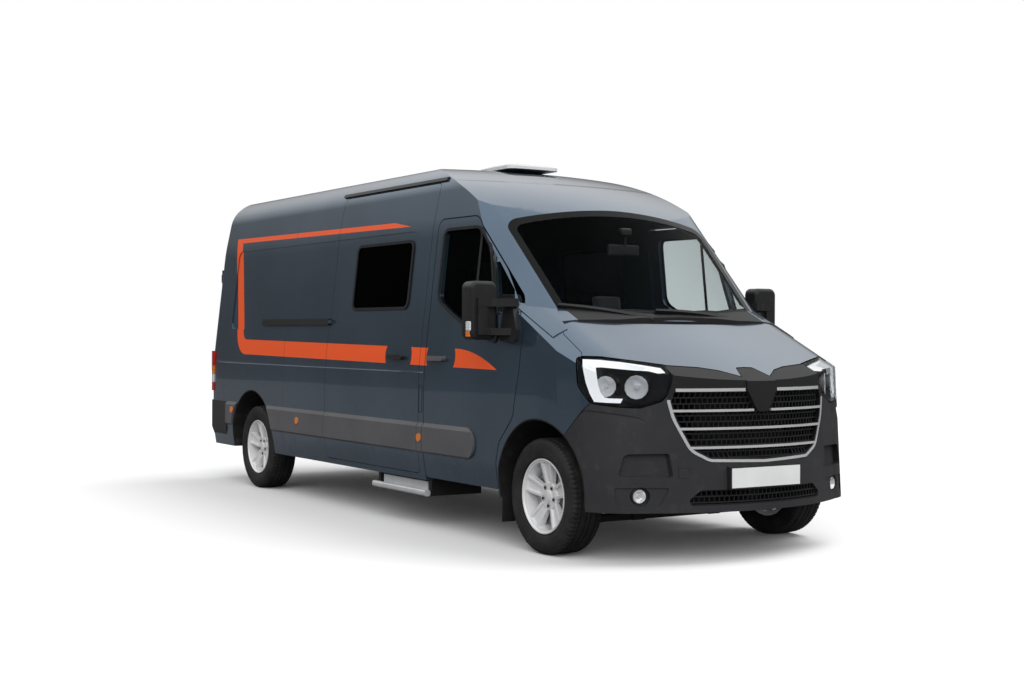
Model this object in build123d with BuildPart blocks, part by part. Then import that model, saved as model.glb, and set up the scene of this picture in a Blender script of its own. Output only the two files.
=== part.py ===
# Camper van, high roof and long wheelbase, with opening doors, bonnet, steering, wheels and entry step
import os
from math import cos, radians, sin, tan

from build123d import *

os.makedirs("parts", exist_ok=True)

# Overall size in mm: X runs to the nose, Y to the van's left, Z up from the road
LENGTH = 6225
WIDTH = 2070
HEIGHT = 2488
WHEELBASE = 4332
FRONT_OVERHANG = 869
FRONT_TRACK = 1750
REAR_TRACK = 1730
FRONT_X = LENGTH / 2
REAR_X = -LENGTH / 2
FRONT_AXLE = FRONT_X - FRONT_OVERHANG
REAR_AXLE = FRONT_AXLE - WHEELBASE

# Clearances
SEAT_GAP = 0.3
DOOR_GAP = 7
PANEL_GAP = 4
LAMP_GAP = 5

# Body cross-section: half width less the tuck, and height, from the sill to the roof's edge
STRIP_PROUD = 15
BODY_HALF = WIDTH / 2 - STRIP_PROUD
BUMPER_Z = 300
SILL_Z = 322
FLOOR_Z = 490
FLOOR_TOP = 540
SECTION_TUCK_Z_RADIUS = [
    (30, BUMPER_Z, 0),
    (0, 490, 500),
    (0, 1040, 3000),
    (112, 2020, 1500),
    (182, HEIGHT - 138, 250),
    (330, HEIGHT - 20, 250),
]
ROOF_CROWN_RADIUS = 9000
WALL = 55
FRAME_WALL = 36
REAR_BUMPER_PROUD = 38
REAR_FACE = REAR_X + REAR_BUMPER_PROUD
REAR_WALL = 60
REAR_CORNER_RADIUS = 130
ROOF_JOINT_Z = HEIGHT - 150
SIDE_DEEP = BODY_HALF - 330

# Pressed panel on each side, x from the front axle and height, and the swage line below it
PRESSING_DEPTH = 8
PRESSING = [(-4880, 1335, 60), (-4880, 2010, 60), (-1500, 2010, 240), (-1500, 1335, 60)]
SWAGE_Z = 1044
SWAGE_DEPTH = 7
SWAGE_BELOW = 14
SWAGE_ABOVE = 66
SWAGE_REAR = -5150
SWAGE_FRONT = -1380

# Where outlines seen from the front start, and how far they are drawn
PRISM_START = 300
PRISM_LONG = 900

# Nose outline in plan, measured from the front axle, and its lean
NOSE_LEAN = 4
NOSE_DATUM_Z = 350
NOSE_WALL = 40
NOSE_FRONT_HALF = 745
NOSE_FRONT_SET = 209
NOSE_CORNER = (582, 880)
NOSE_SIDE_START = (430, 978)
NOSE_SIDE_MID = (0, 1024)
NOSE_SIDE_END = (-500, 1050)

# Bonnet surface: a crowned slope that rises to the windscreen
BONNET_SLOPE = 25.06
BONNET_FRONT = 820
BONNET_FRONT_Z = 1050
BONNET_WALL = 36
BONNET_HALF_DROP_RADIUS = [(1100, 1500, 0), (1100, 175, 200), (830, 46, 400), (0, -12, 8000)]

# Windscreen surface: a raked cylinder with rounded pillars
SCREEN_RAKE = 45.5
SCREEN_BASE = 95
SCREEN_BASE_Z = 1375
SCREEN_HALF = 800
SCREEN_SAG = 118
PILLAR_MID = (925, 205)
PILLAR_END = (1060, 520)
SCREEN_WALL = 45
GLASS = 6

# Wipers on the screen: the low end and the tip, across and up the slope
WIPERS = [((-216, 34), (-769, 246)), ((610, 62), (-155, 102))]
WIPER_WIDE = 30
WIPER_TIP = 16
WIPER_PROUD = 18

# Roof dome over the cab
DOME_CENTRE = FRONT_AXLE - 3500
DOME_FLAT = 1500
DOME_LIP = 2912
DOME_LIP_Z = 2062
ROOF_WALL = 45

# Front axle line to bulkhead
BULKHEAD_REAR = 20
BULKHEAD_FRONT = 60
BAY_FRONT = 790

# Wheel arches
ARCH_RADIUS = 430
LINER = 8
FRONT_ARCH_Z = 368
REAR_ARCH_Z = 386
FRONT_WELL_IN = 535
REAR_WELL_IN = 610

# Cab door outline, x from the front axle and height, with corner radii
CAB_DOOR_REAR = -1360
CAB_DOOR = [
    (CAB_DOOR_REAR, 345, 30),
    (CAB_DOOR_REAR, 2066, 60),
    (-860, 2062, 120),
    (-322, 1535, 150),
    (-200, 1318, 60),
    (-204, 1080, 250),
    (-262, 800, 120),
    (-418, 640, 120),
    (-450, 520, 120),
    (-450, 345, 30),
]
CAB_GLASS = [
    (-1264, 1530, 70),
    (-1264, 1995, 45),
    (-800, 1988, 60),
    (-648, 1838, 40),
    (-470, 1246, 30),
    (-700, 1290, 300),
    (-1080, 1442, 300),
]
QUARTER_GLASS = [
    (-600, 1795, 15),
    (-388, 1575, 40),
    (-318, 1445, 15),
    (-494, 1432, 15),
]

# Sliding door, and the windows behind the cab
SLIDE_FRONT = -1440
SLIDE_REAR = -2900
SLIDE_BOTTOM = 365
SLIDE_TOP = ROOF_JOINT_Z - 14
WINDOW_RADIUS = 60
SIDE_WINDOWS = [
    (-1, -2545, -1695, 1475, 1945),
    (1, -2545, -1695, 1475, 1945),
    (1, -3950, -3250, 1560, 1945),
]

# Rear doors
REAR_DOOR_HALF = 876
REAR_DOOR_BOTTOM = 612
REAR_DOOR_TOP = 2262
REAR_DOOR_TOP_HALF = 800
REAR_HINGE_OUT = 25
REAR_GLASS = (140, 700, 1420, 2010)
HINGE_RADIUS = 11
HINGE_BARREL = 70
HINGE_KNUCKLE = 40
HINGE_KNUCKLES = [800, 1250, 1790]
HINGE_STRAP = (780, 874)
HINGE_ROOT = 30
HINGE_PLATE = (884, 895)
HINGE_HALF_THICK = 6

# Rear bumper and rear lamps
BUMPER_LOW = 345
BUMPER_WAIST = 470
BUMPER_SILL = 580
BUMPER_CORNER_TOP = 706
BUMPER_REACH = 460
BUMPER_CURVE = 160
BUMPER_TAPER = 20
REAR_LAMP = (897, 790, 1140)
REAR_LAMP_PROUD = 12
REAR_LAMP_DEPTH = 30
REAR_LAMP_WRAP = 125

# Headlamps, outlined on a plane that faces the front corner
LAMP_FACING = 42
LAMP_START = 400
LAMP_LONG = 1200
LAMP = [
    (-500, 1176, 18),
    (-362, 1174, 200),
    (-191, 1153, 300),
    (6, 1126, 20),
    (50, 1050, 60),
    (28, 963, 60),
    (-5, 924, 40),
    (-126, 886, 120),
    (-264, 893, 200),
    (-407, 910, 60),
    (-488, 1010, 100),
]
LENS = 6
LAMP_RIM = 4
LAMP_DEPTH = 70
LAMP_BOWL_DEPTH = 54
LAMP_BOWLS = [(-352, 1012, 60), (-205, 1008, 54)]

# Grille outline seen from the front: half width and height
GRILLE = [
    (0, 572, 0),
    (372, 584, 80),
    (485, 642, 120),
    (576, 823, 300),
    (600, 930, 40),
    (562, 1048, 60),
    (545, 1126, 10),
    (328, 1112, 200),
    (217, 1095, 60),
    (100, 1057, 30),
    (0, 1054, 0),
]
GRILLE_LIP = 16
GRILLE_LIP_TOP = 935
GRILLE_RIM = 10
GRILLE_BAR_PROUD = 3
GRILLE_BAR_DEPTH = 14
GRILLE_BARS = [(990, 122, 550, 18), (873, 66, 600, 14), (771, 0, 600, 14), (664, 0, 600, 14)]
MESH_TOP = 976
MESH_FRONT = 18
MESH_BACK = 34
SLAT = 7
SLAT_PITCH = 34
PAD = [(0, 862, 0), (42, 866, 20), (112, 990, 30), (108, 1062, 20), (62, 1108, 20), (0, 1110, 0)]
PAD_PROUD = 8
PAD_WALL = 34

# Lower bumper: the mesh opening, side pockets, fog lamp panels and the cove under each headlamp
LOWER_GRILLE = [(0, 338, 0), (540, 338, 24), (430, 425, 40), (0, 425.5, 0)]
POCKET = [(860, 508, 14), (828, 630, 34), (596, 634, 18), (580, 500, 10)]
POCKET_DEPTH = 34
FOG_PANEL = [(872, 345, 20), (878, 442, 14), (600, 442, 8), (656, 334, 20)]
FOG_PANEL_DEPTH = 9
FOG_LAMP = (748, 393, 52)
FOG_LAMP_DEPTH = 38
COVE = [(1015, 660, 0), (1015, 872, 0), (945, 872, 60), (745, 836, 120), (640, 768, 100), (596, 660, 20)]
COVE_Z = 700
COVE_LEAN = 13
TOW_COVER = [(488, 492, 8), (488, 553, 8), (552, 553, 8), (552, 492, 8)]
TOW_COVER_GROOVE = 3

# Wheels and tyres
TYRE_RADIUS = 345
TYRE_WIDTH = 225
TYRE_BULGE = 285
TYRE_SHOULDER = 16
RIM_RADIUS = 222
RIM_SEAT = 203
RIM_WALL = 9
RIM_LIP = 8
RIM_WIDTH = 190
RIM_FACE = 50
SPOKE = 28
SPOKES = 5
SPOKE_WINDOW = [(94, -13), (176, -45), (188, 0), (176, 45), (94, 13)]
SPOKE_SLOT = [(112, -4), (182, -13), (182, 13), (112, 4)]
HUB_RADIUS = 33
HUB_CAP = 36
HUB_CAP_PROUD = 14
SPINDLE_OUT = 30
BOLT_CIRCLE = 130
BOLT_HOLE = 9

# Rub strips and marker lamps on the sides
STRIP_LOW = 505
STRIP_HIGH = 708
STRIP_BEVEL = 26
STRIP_NOSE = -700
MARKER_RADIUS = 28
MARKER_PROUD = 6
MARKERS = [(-4745, 640), (-3380, 616), (-1402, 608)]

# Door handles: middle and height, with the round dish behind the grip
HANDLE_Z = 1141
HANDLE_CAB = -1195
HANDLE_SLIDE = -1760
HANDLE_LONG = 210
HANDLE_TALL = 32
HANDLE_POST = 24
HANDLE_GAP = 14
HANDLE_PROUD = 30
DISH_RADIUS = 50
DISH_DEPTH = 9

# Latch striker of each cab door
STRIKER_Z = 1100
STRIKER_IN = 35
STRIKER_RADIUS = 6
STRIKER_LONG = 18
STRIKER_ROOM = 4

# Mirrors: the head behind two arms on a foot, x from the front axle
MIRROR_HEAD_X = (-500, -388)
MIRROR_HEAD_Y = (1045, 1235)
MIRROR_HEAD_Z = (1266, 1625)
MIRROR_ROUND = 48
MIRROR_EDGE = 26
MIRROR_ARMS = [(1296, 1339), (1469, 1519)]
MIRROR_ARM = [(-398, 960), (-286, 960), (-274, 1000), (-366, 1108), (-372, 1196), (-402, 1196), (-402, 1064)]
MIRROR_COVER = (1128, 1196)
MIRROR_FOOT = [(-424, 1258, 30), (-398, 1528, 50), (-300, 1470, 40), (-236, 1330, 40), (-240, 1256, 20)]
MIRROR_FOOT_PROUD = 26

# Entry step: the nose is as long as the step, the plate runs between the side brackets
STEP_FRONT = -1372
STEP_REAR = -2143
STEP_NOSE_Y = 1003
STEP_NOSE = 44
STEP_NOSE_ROUND = 17
STEP_LOW = 212
STEP_HIGH = 256
STEP_PLATE = 18
STEP_PLATE_Z = 232
STEP_PLATE_IN = 660
STEP_SET_BACK = 66
STEP_KICK_Y = 942
STEP_KICK = 8
STEP_KICK_TOP = 304
STEP_BRACKET = 34
STEP_BRACKET_Y = (560, 950)
STEP_RUNNER = 40
STEP_RUNNER_TALL = 10
STEP_POST = 50

# Roof vents: middle, length, width, then heights of the plinth and the dome
VENTS = [(-1783, 430, 430), (-4300, 430, 430)]
VENT_PLINTH = 16
VENT_DOME = 18
VENT_INSET = 52
VENT_ROUND = 50

# Rail cover and gutter of the sliding door
RAIL_PROUD = 12
RAIL_Z = (1365, 1415)
RAIL_REAR = -4180
RAIL_END_GAP = 10
ROLLER = 50
GUTTER_TALL = 24
GUTTER_PAST = 60


def from_axle(x):
    return FRONT_AXLE + x


def filleted(points):
    # Closed outline through corner points, each with its own radius
    return FilletPolyline(*[(x, y) for x, y, r in points], radius=[r for x, y, r in points], close=True)


def section_body(inset):
    # The cross-section drawn along the whole length
    half = [(BODY_HALF - tuck, z, r) for tuck, z, r in SECTION_TUCK_Z_RADIUS]
    right = [(-y, z) for y, z, r in half]
    left = [(y, z) for y, z, r in reversed(half)]
    radii = [r for y, z, r in half[1:]]
    with BuildPart() as swept:
        with BuildSketch(Plane.YZ.offset(REAR_X - 100)):
            with BuildLine():
                FilletPolyline(*right, (0, HEIGHT), *left, radius=radii + [ROOF_CROWN_RADIUS] + radii[::-1])
                Line(left[-1], right[0])
            make_face()
            if inset:
                offset(amount=-inset, kind=Kind.INTERSECTION)
        extrude(amount=LENGTH + 200)
    return swept.part


def nose_body(inset, lean_angle=NOSE_LEAN, datum_z=NOSE_DATUM_Z):
    # The plan outline of the nose, leaning back about the height where it keeps its outline
    lean = radians(lean_angle)
    set_back = (datum_z - NOSE_DATUM_Z) * tan(radians(NOSE_LEAN))
    plane = Plane(
        origin=(FRONT_AXLE - set_back, 0, datum_z),
        x_dir=(cos(lean), 0, sin(lean)),
        z_dir=(-sin(lean), 0, cos(lean)),
    )
    front = FRONT_OVERHANG - NOSE_FRONT_SET
    back = NOSE_SIDE_END[0] - LENGTH
    with BuildPart() as swept:
        with BuildSketch(plane):
            with BuildLine():
                ThreePointArc((front, NOSE_FRONT_HALF), (FRONT_OVERHANG - 4, 0), (front, -NOSE_FRONT_HALF))
                for side in (1, -1):
                    side_points = (NOSE_CORNER, NOSE_SIDE_START, NOSE_SIDE_MID, NOSE_SIDE_END)
                    corner = [(x, side * y) for x, y in side_points]
                    ThreePointArc((front, side * NOSE_FRONT_HALF), corner[0], corner[1])
                    ThreePointArc(corner[1], corner[2], corner[3])
                    Line(corner[3], (back, side * NOSE_SIDE_END[1]))
                Line((back, NOSE_SIDE_END[1]), (back, -NOSE_SIDE_END[1]))
            make_face()
            if inset:
                offset(amount=-inset, kind=Kind.INTERSECTION)
        extrude(amount=2 * HEIGHT, both=True)
    return swept.part


def bonnet_body(inset):
    # All that lies under the bonnet's crowned slope
    slope = radians(BONNET_SLOPE)
    plane = Plane(
        origin=(from_axle(BONNET_FRONT), 0, BONNET_FRONT_Z),
        x_dir=(0, 1, 0),
        z_dir=(-cos(slope), 0, sin(slope)),
    )
    half = BONNET_HALF_DROP_RADIUS
    right = [(-y, drop) for y, drop, r in half]
    left = [(y, drop) for y, drop, r in half[-2::-1]]
    radii = [r for y, drop, r in half[1:]]
    with BuildPart() as swept:
        with BuildSketch(plane):
            with BuildLine():
                FilletPolyline(*right, *left, radius=radii + radii[-2::-1])
                Line(left[-1], right[0])
            make_face()
            if inset:
                offset(amount=-inset, kind=Kind.INTERSECTION)
        extrude(amount=3000, both=True)
    return swept.part


SCREEN_PLANE = Plane(
    origin=(from_axle(SCREEN_BASE), 0, SCREEN_BASE_Z),
    x_dir=(0, 1, 0),
    z_dir=(-cos(radians(SCREEN_RAKE)), 0, sin(radians(SCREEN_RAKE))),
)
SCREEN_FACE = Plane(
    origin=(from_axle(SCREEN_BASE), 0, SCREEN_BASE_Z),
    x_dir=(0, 1, 0),
    z_dir=(sin(radians(SCREEN_RAKE)), 0, cos(radians(SCREEN_RAKE))),
)


def screen_body(inset):
    # All that lies behind the raked windscreen and its pillars
    with BuildPart() as swept:
        with BuildSketch(SCREEN_PLANE):
            with BuildLine():
                ThreePointArc((-SCREEN_HALF, SCREEN_SAG), (0, 0), (SCREEN_HALF, SCREEN_SAG))
                for side in (1, -1):
                    edge = (side * PILLAR_END[0], PILLAR_END[1])
                    ThreePointArc((side * SCREEN_HALF, SCREEN_SAG), (side * PILLAR_MID[0], PILLAR_MID[1]), edge)
                    Line(edge, (edge[0], LENGTH))
                Line((PILLAR_END[0], LENGTH), (-PILLAR_END[0], LENGTH))
            make_face()
            if inset:
                offset(amount=-inset, kind=Kind.INTERSECTION)
        extrude(amount=LENGTH, both=True)
    return swept.part


def dome_body(inset):
    # The roof's rounded front, turned about an upright axis, with the level roof behind it
    top = HEIGHT + 2 - inset
    lip = (DOME_LIP - 0.8 * inset, DOME_LIP_Z - 0.5 * inset)
    middle = (DOME_FLAT + 0.5 * (lip[0] - DOME_FLAT), top - 0.245 * (top - lip[1]))
    plane = Plane(origin=(DOME_CENTRE, 0, 0), x_dir=(1, 0, 0), z_dir=(0, -1, 0))
    with BuildPart() as turned:
        with BuildSketch(plane):
            with BuildLine():
                Polyline((0, 0), (0, top), (DOME_FLAT, top))
                ThreePointArc((DOME_FLAT, top), middle, lip)
                Polyline(lip, (DOME_LIP + 1400, 1100), (DOME_LIP + 1400, 0), (0, 0))
            make_face()
        revolve(axis=Axis((DOME_CENTRE, 0, 0), (0, 0, 1)))
        with Locations((DOME_CENTRE - LENGTH / 2, 0, top / 2)):
            Box(LENGTH, 1.3 * WIDTH, top)
    return turned.part


def side_prism(points, side, grow=0.0, inner=0.0):
    # An outline seen from the side, drawn outward from the inner half width
    plane = Plane(origin=(FRONT_AXLE, side * inner, 0), x_dir=(1, 0, 0), z_dir=(0, -1, 0))
    with BuildPart() as cut:
        with BuildSketch(plane):
            with BuildLine():
                filleted(points)
            make_face()
            if grow:
                offset(amount=grow, kind=Kind.INTERSECTION)
        extrude(amount=-side * (WIDTH - inner))
    return cut.part


def front_pair(points, grow=0.0, sides=(1, -1)):
    # An outline seen from the front, on one or both sides of the centre line
    with BuildPart() as cut:
        for side in sides:
            with BuildSketch(Plane.YZ.offset(from_axle(PRISM_START))):
                with BuildLine():
                    filleted([(side * y, z, r) for y, z, r in points])
                make_face()
                if grow:
                    offset(amount=grow, kind=Kind.INTERSECTION)
            extrude(amount=PRISM_LONG)
    return cut.part


def front_prism(half_points, grow=0.0):
    # An outline seen from the front, mirrored about the centre line
    left = [(y, z, r) for y, z, r in half_points if y > 0]
    right = [(-y, z, r) for y, z, r in reversed(left)]
    bottom = half_points[0][1]
    top = half_points[-1][1]
    with BuildPart() as cut:
        with BuildSketch(Plane.YZ.offset(from_axle(PRISM_START))):
            with BuildLine():
                filleted([(0, bottom, 0)] + left + [(0, top, 0)] + right)
            make_face()
            if grow:
                offset(amount=grow, kind=Kind.INTERSECTION)
        extrude(amount=PRISM_LONG)
    return cut.part


def lamp_plane(side):
    # The plane that faces out of a front corner, set well inside the lamp
    facing = radians(LAMP_FACING)
    plane = Plane(
        origin=(FRONT_AXLE, 0, 0),
        x_dir=(sin(facing), side * -cos(facing), 0),
        z_dir=(cos(facing), side * sin(facing), 0),
    )
    return plane.offset(LAMP_START)


def lamp_prism(side, grow=0.0):
    # The headlamp's outline, drawn out through the front corner
    plane = lamp_plane(side)
    up = plane.y_dir.Z
    with BuildPart() as cut:
        with BuildSketch(plane):
            with BuildLine():
                filleted([(u, up * z, r) for u, z, r in LAMP])
            make_face()
            if grow:
                offset(amount=grow, kind=Kind.INTERSECTION)
        extrude(amount=LAMP_LONG)
    return cut.part


def lamp_bowls(side):
    # The round reflectors of a headlamp, drawn out through the front corner
    plane = lamp_plane(side)
    up = plane.y_dir.Z
    with BuildPart() as cut:
        with BuildSketch(plane):
            for u, z, radius in LAMP_BOWLS:
                with Locations((u, up * z)):
                    Circle(radius)
        extrude(amount=LAMP_LONG)
    return cut.part


def block(x0, x1, y0, y1, z0, z1):
    # A plain box between limits, x from the front axle
    with BuildPart() as box:
        with Locations((from_axle((x0 + x1) / 2), (y0 + y1) / 2, (z0 + z1) / 2)):
            Box(abs(x1 - x0), abs(y1 - y0), abs(z1 - z0))
    return box.part


def well(axle, height, inner, radius, side, reach):
    # The space of a wheel arch: a round top and straight sides down to the road
    plane = Plane(origin=(axle, side * inner, 0), x_dir=(1, 0, 0), z_dir=(0, -1, 0))
    with BuildPart() as space:
        with BuildSketch(plane):
            with Locations((0, height)):
                Circle(radius)
            with Locations((0, height / 2)):
                Rectangle(2 * radius, height)
        extrude(amount=-side * (reach - inner))
    return space.part


def rib_window(x0, x1, z0, z1):
    return [(x0, z0, WINDOW_RADIUS), (x0, z1, WINDOW_RADIUS), (x1, z1, WINDOW_RADIUS), (x1, z0, WINDOW_RADIUS)]


def save(built, name):
    built.part.label = name
    export_step(built.part, "parts/" + name + ".step")


# Outer form of the whole body, then its hollow spaces
FAR = LENGTH + 500
AHEAD = 1400
section_0 = section_body(0)
bonnet_0 = bonnet_body(0)
nose_0 = nose_body(0)
screen_0 = screen_body(0)
dome_0 = dome_body(0)
with BuildPart() as outer:
    add(screen_0)
    add(dome_0, mode=Mode.INTERSECT)
    add(bonnet_0)
    add(section_0, mode=Mode.INTERSECT)
    add(nose_0, mode=Mode.INTERSECT)
    with Locations(((REAR_FACE + FRONT_X) / 2, 0, HEIGHT / 2)):
        Box(FRONT_X - REAR_FACE, 2 * WIDTH, 2 * HEIGHT, mode=Mode.INTERSECT)
    rear_edges = outer.faces().sort_by(Axis.X)[0].edges()
    fillet(rear_edges.filter_by(lambda edge: edge.center().Z > BUMPER_Z + 1), REAR_CORNER_RADIUS)

# Pressed panel and swage line of each side
pressed_floor = section_body(PRESSING_DEPTH)
with BuildPart() as pressings:
    for side in (1, -1):
        add(side_prism(PRESSING, side, 0, SIDE_DEEP))
    add(pressed_floor, mode=Mode.SUBTRACT)
with BuildPart() as swages:
    for side in (1, -1):
        with BuildSketch(Plane.YZ.offset(from_axle(SWAGE_REAR))):
            with BuildLine():
                Polyline(
                    (side * (BODY_HALF + SWAGE_DEPTH), SWAGE_Z - SWAGE_BELOW),
                    (side * (BODY_HALF - SWAGE_DEPTH), SWAGE_Z),
                    (side * (BODY_HALF + SWAGE_DEPTH), SWAGE_Z + SWAGE_ABOVE),
                    close=True,
                )
            make_face()
        extrude(amount=SWAGE_FRONT - SWAGE_REAR)
with BuildPart() as styled:
    add(outer.part)
    add(pressings.part, mode=Mode.SUBTRACT)
    add(swages.part, mode=Mode.SUBTRACT)
BODY = styled.part

rear_reach = REAR_FACE + REAR_WALL - FRONT_AXLE
FLOOR_HALF = BODY_HALF - SECTION_TUCK_Z_RADIUS[0][0] - WALL
UNDERFLOOR = block(rear_reach, BULKHEAD_REAR, -FLOOR_HALF, FLOOR_HALF, 0, FLOOR_Z)
UNDERDOOR = block(-FAR, BULKHEAD_REAR, -FLOOR_HALF - DOOR_GAP, FLOOR_HALF + DOOR_GAP, 0, FLOOR_TOP)
section_in = section_body(WALL)
with BuildPart() as cabin:
    add(screen_body(SCREEN_WALL))
    add(dome_body(ROOF_WALL), mode=Mode.INTERSECT)
    add(section_in, mode=Mode.INTERSECT)
    add(nose_body(WALL), mode=Mode.INTERSECT)
    add(block(rear_reach, BULKHEAD_REAR, -WIDTH, WIDTH, FLOOR_TOP, HEIGHT), mode=Mode.INTERSECT)
with BuildPart() as bay:
    add(bonnet_body(BONNET_WALL))
    add(nose_body(NOSE_WALL), mode=Mode.INTERSECT)
    add(section_body(NOSE_WALL), mode=Mode.INTERSECT)
    add(block(BULKHEAD_FRONT, BAY_FRONT, -WIDTH, WIDTH, BUMPER_Z, HEIGHT), mode=Mode.INTERSECT)
    add(block(BULKHEAD_FRONT, BAY_FRONT - 150, -500, 500, BUMPER_Z - 50, BUMPER_Z + 60))

ARCHES = [
    (FRONT_AXLE, FRONT_ARCH_Z, FRONT_WELL_IN),
    (REAR_AXLE, REAR_ARCH_Z, REAR_WELL_IN),
]
WELLS = []
for axle, height, inner in ARCHES:
    for side in (1, -1):
        WELLS.append(well(axle, height, inner - LINER - SEAT_GAP, ARCH_RADIUS + LINER + SEAT_GAP, side, WIDTH))

with BuildPart() as shell:
    add(BODY)
    add(cabin.part, mode=Mode.SUBTRACT)
    add(bay.part, mode=Mode.SUBTRACT)
    add(UNDERFLOOR, mode=Mode.SUBTRACT)
    for space in WELLS:
        add(space, mode=Mode.SUBTRACT)
SHELL = shell.part

# Outlines used by more than one panel
DOOR_HOLES = [side_prism(CAB_DOOR, side, DOOR_GAP, SIDE_DEEP) for side in (1, -1)]
SLIDE = [
    (SLIDE_FRONT, SLIDE_BOTTOM, 40),
    (SLIDE_FRONT, SLIDE_TOP, 40),
    (SLIDE_REAR, SLIDE_TOP, 40),
    (SLIDE_REAR, SLIDE_BOTTOM, 40),
]
SLIDE_HOLE = side_prism(SLIDE, -1, PANEL_GAP, SIDE_DEEP)
LAMP_HOLES = [lamp_prism(side, SEAT_GAP) for side in (1, -1)]
LAMP_CLEAR = [lamp_prism(side, LAMP_GAP) for side in (1, -1)]
GRILLE_HOLE = front_prism(GRILLE, SEAT_GAP)
GRILLE_CLEAR = front_prism(GRILLE, LAMP_GAP)
REAR_OUTLINE = [
    (0, REAR_DOOR_BOTTOM, 0),
    (REAR_DOOR_HALF, REAR_DOOR_BOTTOM, 40),
    (REAR_DOOR_HALF, 1300, 900),
    (REAR_DOOR_TOP_HALF, REAR_DOOR_TOP, 60),
    (0, REAR_DOOR_TOP, 0),
]


def rear_prism(half_points, grow):
    # An outline of the rear doors, mirrored and drawn through the rear wall
    left = [(y, z, r) for y, z, r in half_points if y > 0]
    right = [(-y, z, r) for y, z, r in reversed(left)]
    with BuildPart() as cut:
        with BuildSketch(Plane.YZ.offset(REAR_FACE - 20)):
            with BuildLine():
                filleted(left + right)
            make_face()
            if grow:
                offset(amount=grow, kind=Kind.INTERSECTION)
        extrude(amount=REAR_WALL + 25)
    return cut.part


REAR_HOLE = rear_prism(REAR_OUTLINE, DOOR_GAP)
REAR_BAY = block(rear_reach - REAR_WALL - 20, rear_reach, -REAR_DOOR_TOP_HALF, REAR_DOOR_TOP_HALF, 0, HEIGHT)

# Floor, with the crossmember under the rear doors and a towing lug with an upright hole
TOW_X = rear_reach + 40
TOW_HOLE = 16
TOW_LUG = 90
TOW_THICK = 24
TOW_Z = 420
TOW_CHEEK = 16
CROSSMEMBER_DROP = 60
with BuildPart() as floor_pan:
    add(SHELL)
    add(block(rear_reach - REAR_WALL, BULKHEAD_REAR, -FLOOR_HALF, FLOOR_HALF, FLOOR_Z, FLOOR_TOP),
        mode=Mode.INTERSECT)
    add(block(rear_reach - REAR_WALL + 2, rear_reach, -REAR_DOOR_TOP_HALF, REAR_DOOR_TOP_HALF,
              FLOOR_Z - CROSSMEMBER_DROP, REAR_DOOR_BOTTOM - DOOR_GAP))
    add(block(TOW_X - TOW_LUG / 2, TOW_X + TOW_LUG / 2, -TOW_LUG / 2, TOW_LUG / 2,
              TOW_Z - TOW_THICK / 2, TOW_Z + TOW_THICK / 2))
    for side in (1, -1):
        cheek_in, cheek_out = side * (TOW_LUG / 2 - TOW_CHEEK), side * TOW_LUG / 2
        add(block(TOW_X - TOW_LUG / 2, TOW_X + TOW_LUG / 2, cheek_in, cheek_out, TOW_Z, FLOOR_Z))
    with BuildSketch(Plane(origin=(from_axle(TOW_X), 0, TOW_Z - TOW_THICK))):
        Circle(TOW_HOLE)
    extrude(amount=2 * TOW_THICK, mode=Mode.SUBTRACT)
    add(REAR_HOLE, mode=Mode.SUBTRACT)
save(floor_pan, "floor_pan")

# Roof, with the header over the rear doors
with BuildPart() as roof:
    add(SHELL)
    add(block(-FAR, AHEAD, -WIDTH, WIDTH, ROOF_JOINT_Z, HEIGHT + 50), mode=Mode.INTERSECT)
header = block(rear_reach - REAR_WALL - 20, rear_reach, -REAR_DOOR_TOP_HALF, REAR_DOOR_TOP_HALF,
               REAR_DOOR_TOP + DOOR_GAP, ROOF_JOINT_Z)
with BuildPart() as rear_header:
    add(SHELL)
    add(header, mode=Mode.INTERSECT)
with BuildPart() as roof_all:
    add(roof.part)
    add(rear_header.part)
save(roof_all, "roof")



def lamp_core(depth):
    # All that lies more than a depth inside the rear corners
    with BuildPart() as core:
        add(section_body(depth))
        add(block(rear_reach - REAR_WALL + depth, AHEAD, -WIDTH, WIDTH, 0, HEIGHT), mode=Mode.INTERSECT)
    return core.part


# Rear lamps wrap the corner posts, in pockets of the body sides
lamp_in, lamp_low, lamp_high = REAR_LAMP
LAMP_SIDE = BODY_HALF + REAR_LAMP_PROUD
lamp_front = REAR_FACE + REAR_LAMP_WRAP
with BuildPart() as rear_lamps:
    with BuildSketch(Plane.XY.offset(lamp_low)):
        with BuildLine():
            FilletPolyline((lamp_front, -LAMP_SIDE), (REAR_FACE - REAR_LAMP_PROUD, -LAMP_SIDE),
                           (REAR_FACE - REAR_LAMP_PROUD, LAMP_SIDE), (lamp_front, LAMP_SIDE),
                           radius=REAR_CORNER_RADIUS)
            Line((lamp_front, LAMP_SIDE), (lamp_front, -LAMP_SIDE))
        make_face()
    extrude(amount=lamp_high - lamp_low)
    add(block(-FAR, AHEAD, -lamp_in, lamp_in, 0, HEIGHT), mode=Mode.SUBTRACT)
    add(lamp_core(REAR_LAMP_DEPTH), mode=Mode.SUBTRACT)
save(rear_lamps, "rear_lamps")
with BuildPart() as lamp_pockets:
    for side in (1, -1):
        add(block(-FAR, lamp_front - FRONT_AXLE + SEAT_GAP, side * (lamp_in - SEAT_GAP), side * WIDTH,
                  lamp_low - SEAT_GAP, lamp_high + SEAT_GAP))
    add(lamp_core(REAR_LAMP_DEPTH + SEAT_GAP), mode=Mode.SUBTRACT)

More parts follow.
